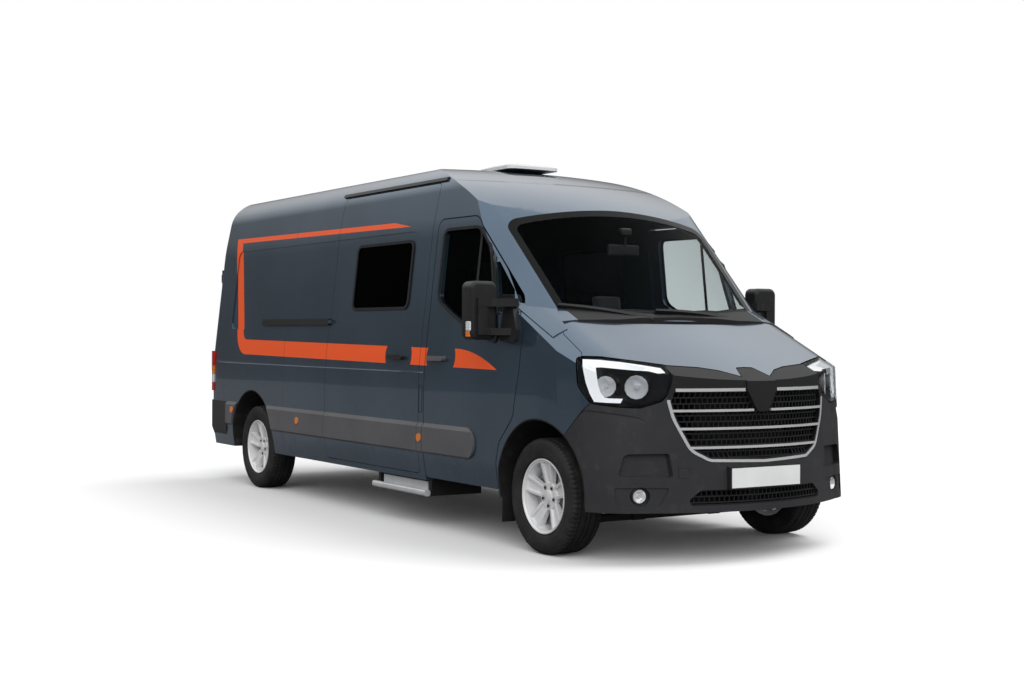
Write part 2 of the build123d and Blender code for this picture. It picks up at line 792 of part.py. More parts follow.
# Body sides from the door pillar back, with the rear corner posts, hinge barrels and latch strikers
HINGE_X = REAR_FACE - REAR_HINGE_OUT
HINGE_Y = REAR_DOOR_HALF + DOOR_GAP / 2
hinge_at = HINGE_X - FRONT_AXLE
STRIKER_Y = BODY_HALF - STRIKER_IN
for side, name in ((1, "body_side_left"), (-1, "body_side_right")):
    with BuildPart() as panel:
        add(SHELL)
        near = block(-FAR, CAB_DOOR_REAR - DOOR_GAP, 0, side * WIDTH, SILL_Z, ROOF_JOINT_Z)
        add(near, mode=Mode.INTERSECT)
        add(block(-FAR, AHEAD, -FLOOR_HALF, FLOOR_HALF, 0, FLOOR_TOP), mode=Mode.SUBTRACT)
        add(REAR_BAY, mode=Mode.SUBTRACT)
        add(REAR_HOLE, mode=Mode.SUBTRACT)
        if side < 0:
            add(SLIDE_HOLE, mode=Mode.SUBTRACT)
        for window_side, x0, x1, z0, z1 in SIDE_WINDOWS:
            if window_side == side and side > 0:
                hole = side_prism(rib_window(x0, x1, z0, z1), side, SEAT_GAP, SIDE_DEEP)
                add(hole, mode=Mode.SUBTRACT)
        add(lamp_pockets.part, mode=Mode.SUBTRACT)
        for hinge_z in HINGE_KNUCKLES:
            with Locations((HINGE_X, side * HINGE_Y, hinge_z)):
                Cylinder(HINGE_RADIUS, HINGE_BARREL)
            low, high = hinge_z - HINGE_BARREL / 2, hinge_z + HINGE_BARREL / 2
            plate_in, plate_out = HINGE_PLATE
            add(block(hinge_at, rear_reach, side * plate_in, side * plate_out, low, high))
            add(block(hinge_at - HINGE_HALF_THICK, hinge_at + HINGE_HALF_THICK,
                      side * HINGE_Y, side * plate_out, low, high))
        striker_x = from_axle(CAB_DOOR_REAR - 2 * DOOR_GAP)
        with BuildSketch(Plane(origin=(striker_x, side * STRIKER_Y, STRIKER_Z), z_dir=(1, 0, 0))):
            Circle(STRIKER_RADIUS)
        extrude(amount=2 * DOOR_GAP + STRIKER_LONG)
    save(panel, name)

# Cab frame: pillars, header and bulkhead
SCREEN_OUTLINE = [
    (-768, 70, 90),
    (-806, 1030, 90),
    (0, 1048, 4000),
    (806, 1030, 90),
    (768, 70, 90),
    (0, 12, 4000),
]


def screen_prism(grow):
    with BuildPart() as cut:
        with BuildSketch(SCREEN_FACE.offset(-260)):
            with BuildLine():
                filleted(SCREEN_OUTLINE)
            make_face()
            if grow:
                offset(amount=grow, kind=Kind.INTERSECTION)
        extrude(amount=400)
    return cut.part


with BuildPart() as cab_frame:
    add(SHELL)
    add(bonnet_0, mode=Mode.SUBTRACT)
    add(block(CAB_DOOR_REAR - DOOR_GAP, AHEAD, -WIDTH, WIDTH, 1000, ROOF_JOINT_Z), mode=Mode.INTERSECT)
    add(screen_prism(SEAT_GAP), mode=Mode.SUBTRACT)
    for hole in DOOR_HOLES:
        add(hole, mode=Mode.SUBTRACT)
with BuildPart() as bulkhead:
    add(SHELL)
    add(block(BULKHEAD_REAR, BULKHEAD_FRONT, -FLOOR_HALF, FLOOR_HALF, FLOOR_Z, 1500), mode=Mode.INTERSECT)
    add(screen_prism(SEAT_GAP), mode=Mode.SUBTRACT)
with BuildPart() as cab_all:
    add(cab_frame.part)
    add(bulkhead.part)
save(cab_all, "cab_frame")

# Nose panels share the skin ahead of the doors and under the bonnet's slope
with BuildPart() as nose_skin:
    add(SHELL)
    add(bonnet_0, mode=Mode.INTERSECT)
    add(block(-452, AHEAD, -WIDTH, WIDTH, 0, 1500), mode=Mode.INTERSECT)
    add(block(-FAR, BULKHEAD_FRONT, -FLOOR_HALF, FLOOR_HALF, 0, 1500), mode=Mode.SUBTRACT)
NOSE = nose_skin.part

# Bonnet, cut by its plan outline: x from the front axle and half width
BONNET_REAR = (-8, 848)
BONNET_REAR_MIDDLE = 125
BONNET_EDGE = [(100, 892), (306, 908), (380, 980), (900, 980)]
BONNET_FROM_Z = 1030
BONNET_TALL = 500
LATCH_BAY = (640, 950, 430, 760, 900, 1118)


def bonnet_prism(grow):
    rear, rear_half = BONNET_REAR
    with BuildPart() as cut:
        with BuildSketch(Plane(origin=(FRONT_AXLE, 0, BONNET_FROM_Z))):
            with BuildLine():
                ends = [(rear - grow, side * (rear_half + grow)) for side in (1, -1)]
                ThreePointArc(ends[0], (BONNET_REAR_MIDDLE - grow, 0), ends[1])
                for side, end in zip((1, -1), ends):
                    Polyline(end, *[(x, side * (y + grow)) for x, y in BONNET_EDGE])
                front, half = BONNET_EDGE[-1]
                Line((front, half + grow), (front, -half - grow))
            make_face()
        extrude(amount=BONNET_TALL)
    return cut.part


PAD_CLEAR = front_prism(PAD, LAMP_GAP + SEAT_GAP)
latch_x0, latch_x1, latch_y0, latch_y1, latch_z0, latch_z1 = LATCH_BAY
with BuildPart() as bonnet:
    add(NOSE)
    add(bonnet_prism(0), mode=Mode.INTERSECT)
    for hole in LAMP_CLEAR:
        add(hole, mode=Mode.SUBTRACT)
    add(GRILLE_CLEAR, mode=Mode.SUBTRACT)
    add(PAD_CLEAR, mode=Mode.SUBTRACT)
    for side in (1, -1):
        add(block(latch_x0, latch_x1, side * latch_y0, side * latch_y1, latch_z0, latch_z1), mode=Mode.SUBTRACT)
save(bonnet, "bonnet")

# Front bumper, below the lamps and round the grille, with its coves, pockets and fog lamp panels
BUMPER_SIDE = [
    (250, 716, 10),
    (450, 912, 60),
    (560, 990, 20),
    (1000, 990, 20),
    (1000, 100, 20),
    (200, 100, 20),
    (200, 640, 20),
]


def bumper_zone(grow):
    return side_prism(BUMPER_SIDE, 1, grow, 0) + side_prism(BUMPER_SIDE, -1, grow, 0)


def fog_cylinders(grow):
    y, z, radius = FOG_LAMP
    with BuildPart() as cut:
        with BuildSketch(Plane.YZ.offset(from_axle(PRISM_START))):
            with Locations((y, z), (-y, z)):
                Circle(radius + grow)
        extrude(amount=PRISM_LONG)
    return cut.part


LOWER_HOLE = front_prism(LOWER_GRILLE)
nose_pocket = nose_body(POCKET_DEPTH)
nose_panel = nose_body(FOG_PANEL_DEPTH)
with BuildPart() as coves:
    add(front_pair(COVE))
    add(nose_body(0, COVE_LEAN, COVE_Z), mode=Mode.SUBTRACT)
with BuildPart() as pockets:
    add(front_pair(POCKET))
    add(nose_pocket, mode=Mode.SUBTRACT)
with BuildPart() as fog_panels:
    add(front_pair(FOG_PANEL))
    add(nose_panel, mode=Mode.SUBTRACT)
with BuildPart() as tow_groove:
    add(front_pair(TOW_COVER, 0, (-1,)))
    add(front_pair(TOW_COVER, -TOW_COVER_GROOVE, (-1,)), mode=Mode.SUBTRACT)
    add(nose_body(TOW_COVER_GROOVE), mode=Mode.SUBTRACT)
with BuildPart() as bumper:
    add(NOSE)
    add(bumper_zone(0), mode=Mode.INTERSECT)
    for hole in LAMP_HOLES:
        add(hole, mode=Mode.SUBTRACT)
    for cut in (GRILLE_HOLE, LOWER_HOLE, coves.part, pockets.part, fog_panels.part, tow_groove.part):
        add(cut, mode=Mode.SUBTRACT)
    add(fog_cylinders(SEAT_GAP), mode=Mode.SUBTRACT)
save(bumper, "front_bumper")

# Front wings, what is left of the nose skin at the sides
WING_INNER = 700
with BuildPart() as wings:
    add(NOSE)
    add(bumper_zone(PANEL_GAP), mode=Mode.SUBTRACT)
    add(bonnet_prism(PANEL_GAP), mode=Mode.SUBTRACT)
    for hole in LAMP_HOLES + DOOR_HOLES:
        add(hole, mode=Mode.SUBTRACT)
    add(block(-FAR, AHEAD, -WING_INNER, WING_INNER, 0, HEIGHT), mode=Mode.SUBTRACT)
save(wings, "front_wings")


def lamp_body(inset):
    # The front corners below the bonnet's slope, set in from the skin
    with BuildPart() as corner:
        add(nose_body(inset))
        add(bonnet_body(inset), mode=Mode.INTERSECT)
        add(block(0, AHEAD, -WIDTH, WIDTH, BUMPER_Z, HEIGHT), mode=Mode.INTERSECT)
    return corner.part


# Headlamps: a clear lens flush with the skin, and the housing with two reflectors behind it
with BuildPart() as lenses:
    add(lamp_body(0))
    add(lamp_body(LENS), mode=Mode.SUBTRACT)
    add(lamp_prism(1) + lamp_prism(-1), mode=Mode.INTERSECT)
save(lenses, "headlamps")
with BuildPart() as bowls:
    add(lamp_bowls(1) + lamp_bowls(-1))
    add(nose_body(LAMP_BOWL_DEPTH), mode=Mode.SUBTRACT)
with BuildPart() as lamp_housings:
    add(lamp_body(LENS + SEAT_GAP))
    add(nose_body(LAMP_DEPTH), mode=Mode.SUBTRACT)
    add(lamp_prism(1, -LAMP_RIM) + lamp_prism(-1, -LAMP_RIM), mode=Mode.INTERSECT)
    add(bowls.part, mode=Mode.SUBTRACT)
save(lamp_housings, "headlamp_housings")
with BuildPart() as fogs:
    add(nose_body(FOG_PANEL_DEPTH))
    add(nose_body(FOG_LAMP_DEPTH), mode=Mode.SUBTRACT)
    add(fog_cylinders(0), mode=Mode.INTERSECT)
save(fogs, "fog_lamps")


def bar_prism(z, y_in, y_out, tall, grow):
    # A level bar across the grille, whole or in two halves
    half = tall / 2 + grow
    if y_in:
        return front_pair([(y_in - grow, z - half, 0), (y_out, z - half, 0), (y_out, z + half, 0),
                           (y_in - grow, z + half, 0)])
    return front_prism([(0, z - half, 0), (y_out, z - half, 0), (y_out, z + half, 0), (0, z + half, 0)])


# Grille: bright lip and bars, then the dark frame with its slats and a plain pad in the middle
GRILLE_INNER = front_prism(GRILLE, -GRILLE_LIP)
below_lip = block(PRISM_START, AHEAD, -WIDTH, WIDTH, 0, GRILLE_LIP_TOP)
with BuildPart() as bars:
    for z, y_in, y_out, tall in GRILLE_BARS:
        add(bar_prism(z, y_in, y_out, tall, 0))
    add(front_prism(GRILLE, -GRILLE_LIP), mode=Mode.INTERSECT)
with BuildPart() as lip:
    add(front_prism(GRILLE))
    add(GRILLE_INNER, mode=Mode.SUBTRACT)
    add(below_lip, mode=Mode.INTERSECT)
with BuildPart() as grille_trim:
    add(nose_body(-GRILLE_BAR_PROUD))
    add(nose_body(GRILLE_BAR_DEPTH), mode=Mode.SUBTRACT)
    add(bars.part + lip.part, mode=Mode.INTERSECT)
    for hole in LAMP_HOLES:
        add(hole, mode=Mode.SUBTRACT)
save(grille_trim, "grille_trim")
with BuildPart() as trim_room:
    add(front_prism(GRILLE, SEAT_GAP))
    add(front_prism(GRILLE, -GRILLE_LIP - SEAT_GAP), mode=Mode.SUBTRACT)
    add(block(PRISM_START, AHEAD, -WIDTH, WIDTH, 0, GRILLE_LIP_TOP + SEAT_GAP), mode=Mode.INTERSECT)
with BuildPart() as bar_room:
    for z, y_in, y_out, tall in GRILLE_BARS:
        add(bar_prism(z, y_in, y_out, tall, SEAT_GAP))
    add(nose_body(GRILLE_BAR_DEPTH + SEAT_GAP), mode=Mode.SUBTRACT)
with BuildPart() as mesh_opening:
    add(front_prism(GRILLE, -GRILLE_LIP - GRILLE_RIM))
    add(block(PRISM_START, AHEAD, -WIDTH, WIDTH, 0, MESH_TOP), mode=Mode.INTERSECT)
with BuildPart() as slat_levels:
    slat_z = GRILLE[0][1] + SLAT_PITCH
    while slat_z < MESH_TOP:
        add(block(PRISM_START, AHEAD, -WIDTH, WIDTH, slat_z - SLAT / 2, slat_z + SLAT / 2))
        slat_z += SLAT_PITCH
with BuildPart() as slats:
    add(nose_body(MESH_FRONT))
    add(nose_body(MESH_BACK), mode=Mode.SUBTRACT)
    add(front_prism(GRILLE, -GRILLE_LIP - GRILLE_RIM / 2), mode=Mode.INTERSECT)
    add(slat_levels.part, mode=Mode.INTERSECT)
with BuildPart() as pad:
    add(nose_body(-PAD_PROUD))
    add(bonnet_body(-SEAT_GAP), mode=Mode.INTERSECT)
    add(front_prism(PAD), mode=Mode.INTERSECT)
    add(lamp_body(PAD_WALL), mode=Mode.SUBTRACT)
with BuildPart() as grille:
    add(NOSE)
    add(front_prism(GRILLE), mode=Mode.INTERSECT)
    add(trim_room.part, mode=Mode.SUBTRACT)
    add(mesh_opening.part, mode=Mode.SUBTRACT)
    add(slats.part)
    add(bar_room.part, mode=Mode.SUBTRACT)
    add(pad.part)
    for hole in LAMP_HOLES:
        add(hole, mode=Mode.SUBTRACT)
save(grille, "grille")
LOWER_FRONT = 12
LOWER_BACK = 30
with BuildPart() as lower_slats:
    z_low, z_high = LOWER_GRILLE[0][1], LOWER_GRILLE[-1][1]
    slat_z = z_low + SLAT_PITCH / 2
    while slat_z < z_high:
        add(block(PRISM_START, AHEAD, -WIDTH, WIDTH, slat_z - SLAT / 2, slat_z + SLAT / 2))
        slat_z += SLAT_PITCH
    add(front_prism(LOWER_GRILLE, -SEAT_GAP) - front_prism(LOWER_GRILLE, -SEAT_GAP - SLAT))
with BuildPart() as lower_grille:
    add(nose_body(LOWER_FRONT))
    add(nose_body(LOWER_BACK), mode=Mode.SUBTRACT)
    add(front_prism(LOWER_GRILLE, -SEAT_GAP), mode=Mode.INTERSECT)
    add(lower_slats.part, mode=Mode.INTERSECT)
save(lower_grille, "lower_grille")

# Windscreen and the wipers that lie on it
with BuildPart() as windscreen:
    add(screen_0)
    add(screen_body(GLASS), mode=Mode.SUBTRACT)
    add(screen_prism(0), mode=Mode.INTERSECT)
save(windscreen, "windscreen")
with BuildPart() as wiper_outlines:
    for (low_y, low_v), (tip_y, tip_v) in WIPERS:
        run = Vector(tip_y - low_y, tip_v - low_v).normalized()
        across = Vector(-run.Y, run.X)
        with BuildSketch(SCREEN_FACE.offset(-260)):
            with BuildLine():
                wide = across * (WIPER_WIDE / 2)
                slim = across * (WIPER_TIP / 2)
                low = Vector(low_y, low_v)
                tip = Vector(tip_y, tip_v)
                Polyline(low - wide, tip - slim, tip + slim, low + wide, close=True)
            make_face()
        extrude(amount=400)
with BuildPart() as wipers:
    add(screen_body(-WIPER_PROUD))
    add(screen_body(-SEAT_GAP), mode=Mode.SUBTRACT)
    add(wiper_outlines.part, mode=Mode.INTERSECT)
    add(BODY, mode=Mode.SUBTRACT)
save(wipers, "wipers")



def handle(side, middle):
    # A grip on two posts, following the side's section
    ends = HANDLE_LONG / 2
    round_end = HANDLE_TALL / 2 - 1
    z0, z1 = HANDLE_Z - HANDLE_TALL / 2, HANDLE_Z + HANDLE_TALL / 2
    grip = [(middle - ends, z0, round_end), (middle - ends, z1, round_end),
            (middle + ends, z1, round_end), (middle + ends, z0, round_end)]
    with BuildPart() as posts:
        for x in (middle - ends, middle + ends - HANDLE_POST):
            add(block(x, x + HANDLE_POST, 0, side * WIDTH, z0, z1))
        add(section_body(-HANDLE_GAP), mode=Mode.INTERSECT)
    with BuildPart() as grips:
        add(section_body(-HANDLE_PROUD))
        add(section_body(-HANDLE_GAP), mode=Mode.SUBTRACT)
        add(posts.part)
        add(side_prism(grip, side, 0, SIDE_DEEP), mode=Mode.INTERSECT)
        add(BODY, mode=Mode.SUBTRACT)
    return grips.part


def dish(side, middle):
    # The round hollow behind a grip
    skin = BODY_HALF - DISH_DEPTH
    with BuildPart() as cut:
        with BuildSketch(Plane(origin=(from_axle(middle), side * skin, HANDLE_Z), z_dir=(0, side, 0))):
            Circle(DISH_RADIUS)
        extrude(amount=WIDTH - skin)
    return cut.part


# Rub strip section, bevelled along its top edge
with BuildPart() as strip_form:
    for side in (1, -1):
        inner, outer_face = side * (BODY_HALF + SEAT_GAP), side * (BODY_HALF + STRIP_PROUD)
        with BuildSketch(Plane.YZ.offset(REAR_X)):
            with BuildLine():
                Polyline((inner, STRIP_LOW), (outer_face, STRIP_LOW + STRIP_PROUD),
                         (outer_face, STRIP_HIGH - STRIP_BEVEL), (inner, STRIP_HIGH), close=True)
            make_face()
        extrude(amount=LENGTH)

# Cab doors with glass, strip, handle and mirror
FRAME_FROM_Z = 1330
PANE_INSET = 14
frame_in = section_body(FRAME_WALL)
pane_out = section_body(PANE_INSET)
pane_in = section_body(PANE_INSET + GLASS)
mirror_x0, mirror_x1 = MIRROR_HEAD_X
mirror_y0, mirror_y1 = MIRROR_HEAD_Y
mirror_z0, mirror_z1 = MIRROR_HEAD_Z
for side, name in ((1, "left"), (-1, "right")):
    outline = side_prism(CAB_DOOR, side, 0, SIDE_DEEP)
    cab_panes = side_prism(CAB_GLASS, side, 0, SIDE_DEEP) + side_prism(QUARTER_GLASS, side, 0, SIDE_DEEP)
    with BuildPart() as frame_core:
        add(frame_in)
        add(block(-FAR, AHEAD, 0, side * WIDTH, FRAME_FROM_Z, HEIGHT), mode=Mode.INTERSECT)
    with BuildPart() as door:
        add(SHELL)
        add(outline, mode=Mode.INTERSECT)
        add(UNDERDOOR, mode=Mode.SUBTRACT)
        add(frame_core.part, mode=Mode.SUBTRACT)
        add(side_prism(CAB_GLASS, side, SEAT_GAP, SIDE_DEEP), mode=Mode.SUBTRACT)
        add(side_prism(QUARTER_GLASS, side, SEAT_GAP, SIDE_DEEP), mode=Mode.SUBTRACT)
        add(dish(side, HANDLE_CAB), mode=Mode.SUBTRACT)
        latch = STRIKER_RADIUS + STRIKER_ROOM
        add(block(CAB_DOOR_REAR - STRIKER_ROOM, CAB_DOOR_REAR + STRIKER_LONG + STRIKER_ROOM, side * SIDE_DEEP,
                  side * (STRIKER_Y + STRIKER_RADIUS + SEAT_GAP), STRIKER_Z - latch, STRIKER_Z + latch),
            mode=Mode.SUBTRACT)
    save(door, "cab_door_" + name)
    with BuildPart() as glass:
        add(pane_out)
        add(pane_in, mode=Mode.SUBTRACT)
        add(cab_panes, mode=Mode.INTERSECT)
        add(BODY, mode=Mode.INTERSECT)
    save(glass, "cab_door_glass_" + name)
    with BuildPart() as trim:
        rear, low, high = CAB_DOOR_REAR + 1, STRIP_LOW, STRIP_HIGH
        round_nose = (high - low) / 2 - 1
        strip = [(rear, low, 0), (rear, high, 0), (STRIP_NOSE, high, round_nose), (STRIP_NOSE, low, round_nose)]
        add(strip_form.part)
        add(side_prism(strip, side, 0, SIDE_DEEP), mode=Mode.INTERSECT)
        add(handle(side, HANDLE_CAB))
    save(trim, "cab_door_strip_" + name)
    with BuildPart() as mirror:
        head_middle = (from_axle(mirror_x0), side * (mirror_y0 + mirror_y1) / 2, (mirror_z0 + mirror_z1) / 2)
        head = Plane(origin=head_middle, x_dir=(0, 1, 0), z_dir=(1, 0, 0))
        with BuildSketch(head):
            RectangleRounded(mirror_y1 - mirror_y0, mirror_z1 - mirror_z0, MIRROR_ROUND)
        extrude(amount=mirror_x1 - mirror_x0)
        fillet(mirror.faces().sort_by(Axis.X)[-1].edges(), MIRROR_EDGE)
        for z0, z1 in MIRROR_ARMS:
            with BuildSketch(Plane(origin=(FRONT_AXLE, 0, z0))):
                with BuildLine():
                    Polyline(*[(x, side * y) for x, y in MIRROR_ARM], close=True)
                make_face()
            extrude(amount=z1 - z0)
        cover_x = [x for x, y in MIRROR_ARM if y == MIRROR_COVER[1]]
        add(block(min(cover_x), max(cover_x), side * MIRROR_COVER[0], side * MIRROR_COVER[1],
                  MIRROR_ARMS[0][0], MIRROR_ARMS[1][1]))
    with BuildPart() as foot:
        add(section_body(-MIRROR_FOOT_PROUD))
        add(side_prism(MIRROR_FOOT, side, 0, SIDE_DEEP), mode=Mode.INTERSECT)
    with BuildPart() as mirror_all:
        add(mirror.part)
        add(foot.part)
        add(BODY, mode=Mode.SUBTRACT)
        add(block(-FAR, AHEAD, 0, side * SIDE_DEEP, 0, HEIGHT), mode=Mode.SUBTRACT)
    save(mirror_all, "mirror_" + name)

# Sliding door, shut, with its roller arm, its window and the left-hand windows
rail_low, rail_high = RAIL_Z
with BuildPart() as roller_arm:
    arm_long = block(SLIDE_REAR - RAIL_END_GAP + SEAT_GAP, SLIDE_REAR + ROLLER, -WIDTH, 0,
                     rail_low + RAIL_PROUD, rail_high - RAIL_PROUD)
    add(section_body(-RAIL_PROUD))
    add(section_body(PRESSING_DEPTH - PANEL_GAP), mode=Mode.SUBTRACT)
    add(arm_long, mode=Mode.INTERSECT)
with BuildPart() as roller_root:
    add(section_body(0))
    add(section_body(2 * PRESSING_DEPTH), mode=Mode.SUBTRACT)
    add(block(SLIDE_REAR + 1, SLIDE_REAR + ROLLER, -WIDTH, 0, rail_low + RAIL_PROUD, rail_high - RAIL_PROUD),
        mode=Mode.INTERSECT)
with BuildPart() as sliding:
    add(SHELL)
    add(side_prism(SLIDE, -1, 0, SIDE_DEEP), mode=Mode.INTERSECT)
    add(UNDERDOOR, mode=Mode.SUBTRACT)
    for window_side, x0, x1, z0, z1 in SIDE_WINDOWS:
        if window_side < 0:
            add(side_prism(rib_window(x0, x1, z0, z1), -1, SEAT_GAP, SIDE_DEEP), mode=Mode.SUBTRACT)
    add(dish(-1, HANDLE_SLIDE), mode=Mode.SUBTRACT)
    add(roller_root.part)
    add(roller_arm.part)
save(sliding, "sliding_door")
SIDE_PANE_INSET = PRESSING_DEPTH + 2
with BuildPart() as windows:
    for window_side, x0, x1, z0, z1 in SIDE_WINDOWS:
        add(side_prism(rib_window(x0, x1, z0, z1), window_side, 0, SIDE_DEEP))
    add(section_body(SIDE_PANE_INSET), mode=Mode.INTERSECT)
    add(section_body(SIDE_PANE_INSET + GLASS), mode=Mode.SUBTRACT)
save(windows, "side_windows")

# Rear doors with hinge knuckles and glass
DOOR_SPLIT = 3
for side, name in ((1, "left"), (-1, "right")):
    y0, y1, z0, z1 = REAR_GLASS
    with BuildPart() as door:
        add(SHELL)
        add(rear_prism(REAR_OUTLINE, 0), mode=Mode.INTERSECT)
        add(block(rear_reach - 2 * REAR_WALL, rear_reach, side * DOOR_SPLIT, side * WIDTH, 0, HEIGHT),
            mode=Mode.INTERSECT)
        with BuildSketch(Plane.YZ.offset(REAR_FACE - REAR_WALL)):
            with Locations((side * (y0 + y1) / 2, (z0 + z1) / 2)):
                RectangleRounded(y1 - y0 + 2 * SEAT_GAP, z1 - z0 + 2 * SEAT_GAP, WINDOW_RADIUS)
        extrude(amount=3 * REAR_WALL, mode=Mode.SUBTRACT)
        for hinge_z in HINGE_KNUCKLES:
            for end in (1, -1):
                knuckle_z = hinge_z + end * (HINGE_BARREL / 2 + SEAT_GAP + HINGE_KNUCKLE / 2)
                with Locations((HINGE_X, side * HINGE_Y, knuckle_z)):
                    Cylinder(HINGE_RADIUS, HINGE_KNUCKLE)
                low, high = knuckle_z - HINGE_KNUCKLE / 2, knuckle_z + HINGE_KNUCKLE / 2
                strap_in, strap_out = HINGE_STRAP
                add(block(hinge_at - HINGE_HALF_THICK, hinge_at + HINGE_HALF_THICK,
                          side * strap_in, side * strap_out, low, high))
                add(block(hinge_at, rear_reach - REAR_WALL / 2, side * strap_in, side * (strap_in + HINGE_ROOT),
                          low, high))
    save(door, "rear_door_" + name)
    with BuildPart() as glass:
        with BuildSketch(Plane.YZ.offset(REAR_FACE + PANE_INSET)):
            with Locations((side * (y0 + y1) / 2, (z0 + z1) / 2)):
                RectangleRounded(y1 - y0, z1 - z0, WINDOW_RADIUS)
        extrude(amount=GLASS)
    save(glass, "rear_door_glass_" + name)

# Rear bumper: a step under the doors, corners that rise to the rub strips and a tapered underside
BUMPER_HALF = BODY_HALF + STRIP_PROUD - 7


def bumper_plan(height):
    front = REAR_X + BUMPER_REACH
    with BuildSketch(Plane.XY.offset(height)) as plan:
        with BuildLine():
            FilletPolyline((front, -BUMPER_HALF), (REAR_X, -BUMPER_HALF), (REAR_X, BUMPER_HALF),
                           (front, BUMPER_HALF), radius=BUMPER_CURVE)
            Line((front, BUMPER_HALF), (front, -BUMPER_HALF))
        make_face()
    return plan.sketch


with BuildPart() as rear_bumper:
    add(bumper_plan(BUMPER_WAIST))
    extrude(amount=BUMPER_CORNER_TOP - BUMPER_WAIST)
    add(bumper_plan(BUMPER_WAIST))
    extrude(amount=BUMPER_LOW - BUMPER_WAIST, taper=BUMPER_TAPER)
    post = REAR_DOOR_HALF + 3 * DOOR_GAP
    add(block(-FAR, AHEAD, -post, post, BUMPER_SILL, HEIGHT), mode=Mode.SUBTRACT)
    add(BODY, mode=Mode.SUBTRACT)
save(rear_bumper, "rear_bumper")

# Rub strips between the panel gaps, and marker lamps: side, rear end and front end
STRIPS = [
    (-1, SLIDE_REAR + 2, SLIDE_FRONT - 2),
    (-1, -WHEELBASE + ARCH_RADIUS / 2, SLIDE_REAR - PANEL_GAP - 2),
    (-1, SLIDE_FRONT + PANEL_GAP + 2, CAB_DOOR_REAR - DOOR_GAP - 2),
    (1, -WHEELBASE + ARCH_RADIUS / 2, CAB_DOOR_REAR - DOOR_GAP - 2),
    (-1, REAR_X + BUMPER_REACH + PANEL_GAP - FRONT_AXLE, -WHEELBASE - ARCH_RADIUS / 2),
    (1, REAR_X + BUMPER_REACH + PANEL_GAP - FRONT_AXLE, -WHEELBASE - ARCH_RADIUS / 2),
]
STRIP_ARCH_GAP = 14
with BuildPart() as strips:
    for side, x0, x1 in STRIPS:
        add(block(x0, x1, 0, side * WIDTH, 0, HEIGHT))
    add(strip_form.part, mode=Mode.INTERSECT)
    for side in (1, -1):
        reach = ARCH_RADIUS + LINER + STRIP_ARCH_GAP
        add(well(REAR_AXLE, REAR_ARCH_Z, REAR_WELL_IN, reach, side, WIDTH), mode=Mode.SUBTRACT)
save(strips, "rub_strips")
with BuildPart() as markers:
    for side in (1, -1):
        for x, z in MARKERS:
            marker_at = (from_axle(x), side * (BODY_HALF + STRIP_PROUD), z)
            with BuildSketch(Plane(origin=marker_at, z_dir=(0, side, 0))):
                Circle(MARKER_RADIUS)
            extrude(amount=MARKER_PROUD)
save(markers, "side_markers")

# Rail cover and gutter of the sliding door, with the door's handle
with BuildPart() as rail_cover:
    add(section_body(-RAIL_PROUD))
    add(section_body(PRESSING_DEPTH - SEAT_GAP), mode=Mode.SUBTRACT)
    add(block(RAIL_REAR, SLIDE_REAR - RAIL_END_GAP, -WIDTH, 0, rail_low, rail_high), mode=Mode.INTERSECT)
with BuildPart() as gutter:
    add(section_body(-RAIL_PROUD))
    add(section_0, mode=Mode.SUBTRACT)
    add(block(SLIDE_REAR - GUTTER_PAST, SLIDE_FRONT + GUTTER_PAST, -WIDTH, 0, ROOF_JOINT_Z + 2,
              ROOF_JOINT_Z + 2 + GUTTER_TALL), mode=Mode.INTERSECT)
with BuildPart() as rails:
    add(rail_cover.part)
    add(gutter.part)
    add(handle(-1, HANDLE_SLIDE))
save(rails, "door_rails")

# Roof vents: a plinth that follows the roof and a low dome
with BuildPart() as vents:
    for x, long, wide in VENTS:
        base = Plane(origin=(from_axle(x), 0, HEIGHT + VENT_PLINTH))
        with BuildSketch(base):
            RectangleRounded(long, wide, VENT_ROUND)
        extrude(amount=-4 * VENT_PLINTH)
        with BuildSketch(base):
            RectangleRounded(long, wide, VENT_ROUND)
        with BuildSketch(base.offset(VENT_DOME)):
            RectangleRounded(long - 2 * VENT_INSET, wide - 2 * VENT_INSET, VENT_ROUND)
        loft()
    add(section_0, mode=Mode.SUBTRACT)
save(vents, "roof_vents")

# Wheel housings inside the arches, and the flaps behind the front wheels
FLAP = 7
FLAP_Y = (800, 985)
FLAP_LOW = 149
AXLE_SLOT = (90, 460)
with BuildPart() as housings:
    for axle, height, inner in ARCHES:
        for side in (1, -1):
            add(well(axle, height, inner - LINER, ARCH_RADIUS + LINER, side, WIDTH))
    for axle, height, inner in ARCHES:
        for side in (1, -1):
            add(well(axle, height, inner, ARCH_RADIUS, side, WIDTH), mode=Mode.SUBTRACT)
    add(BODY, mode=Mode.INTERSECT)
    add(block(-FAR, AHEAD, -WIDTH, WIDTH, SILL_Z, HEIGHT), mode=Mode.INTERSECT)
    slot_half, slot_top = AXLE_SLOT
    add(block(-WHEELBASE - slot_half, -WHEELBASE + slot_half, -REAR_WELL_IN - 1, REAR_WELL_IN + 1, 0, slot_top),
        mode=Mode.SUBTRACT)
save(housings, "wheel_housings")
with BuildPart() as flaps:
    for side in (1, -1):
        x = -ARCH_RADIUS + SEAT_GAP
        add(block(x, x + FLAP, side * FLAP_Y[0], side * FLAP_Y[1], FLAP_LOW, FRONT_ARCH_Z))
save(flaps, "mudflaps")

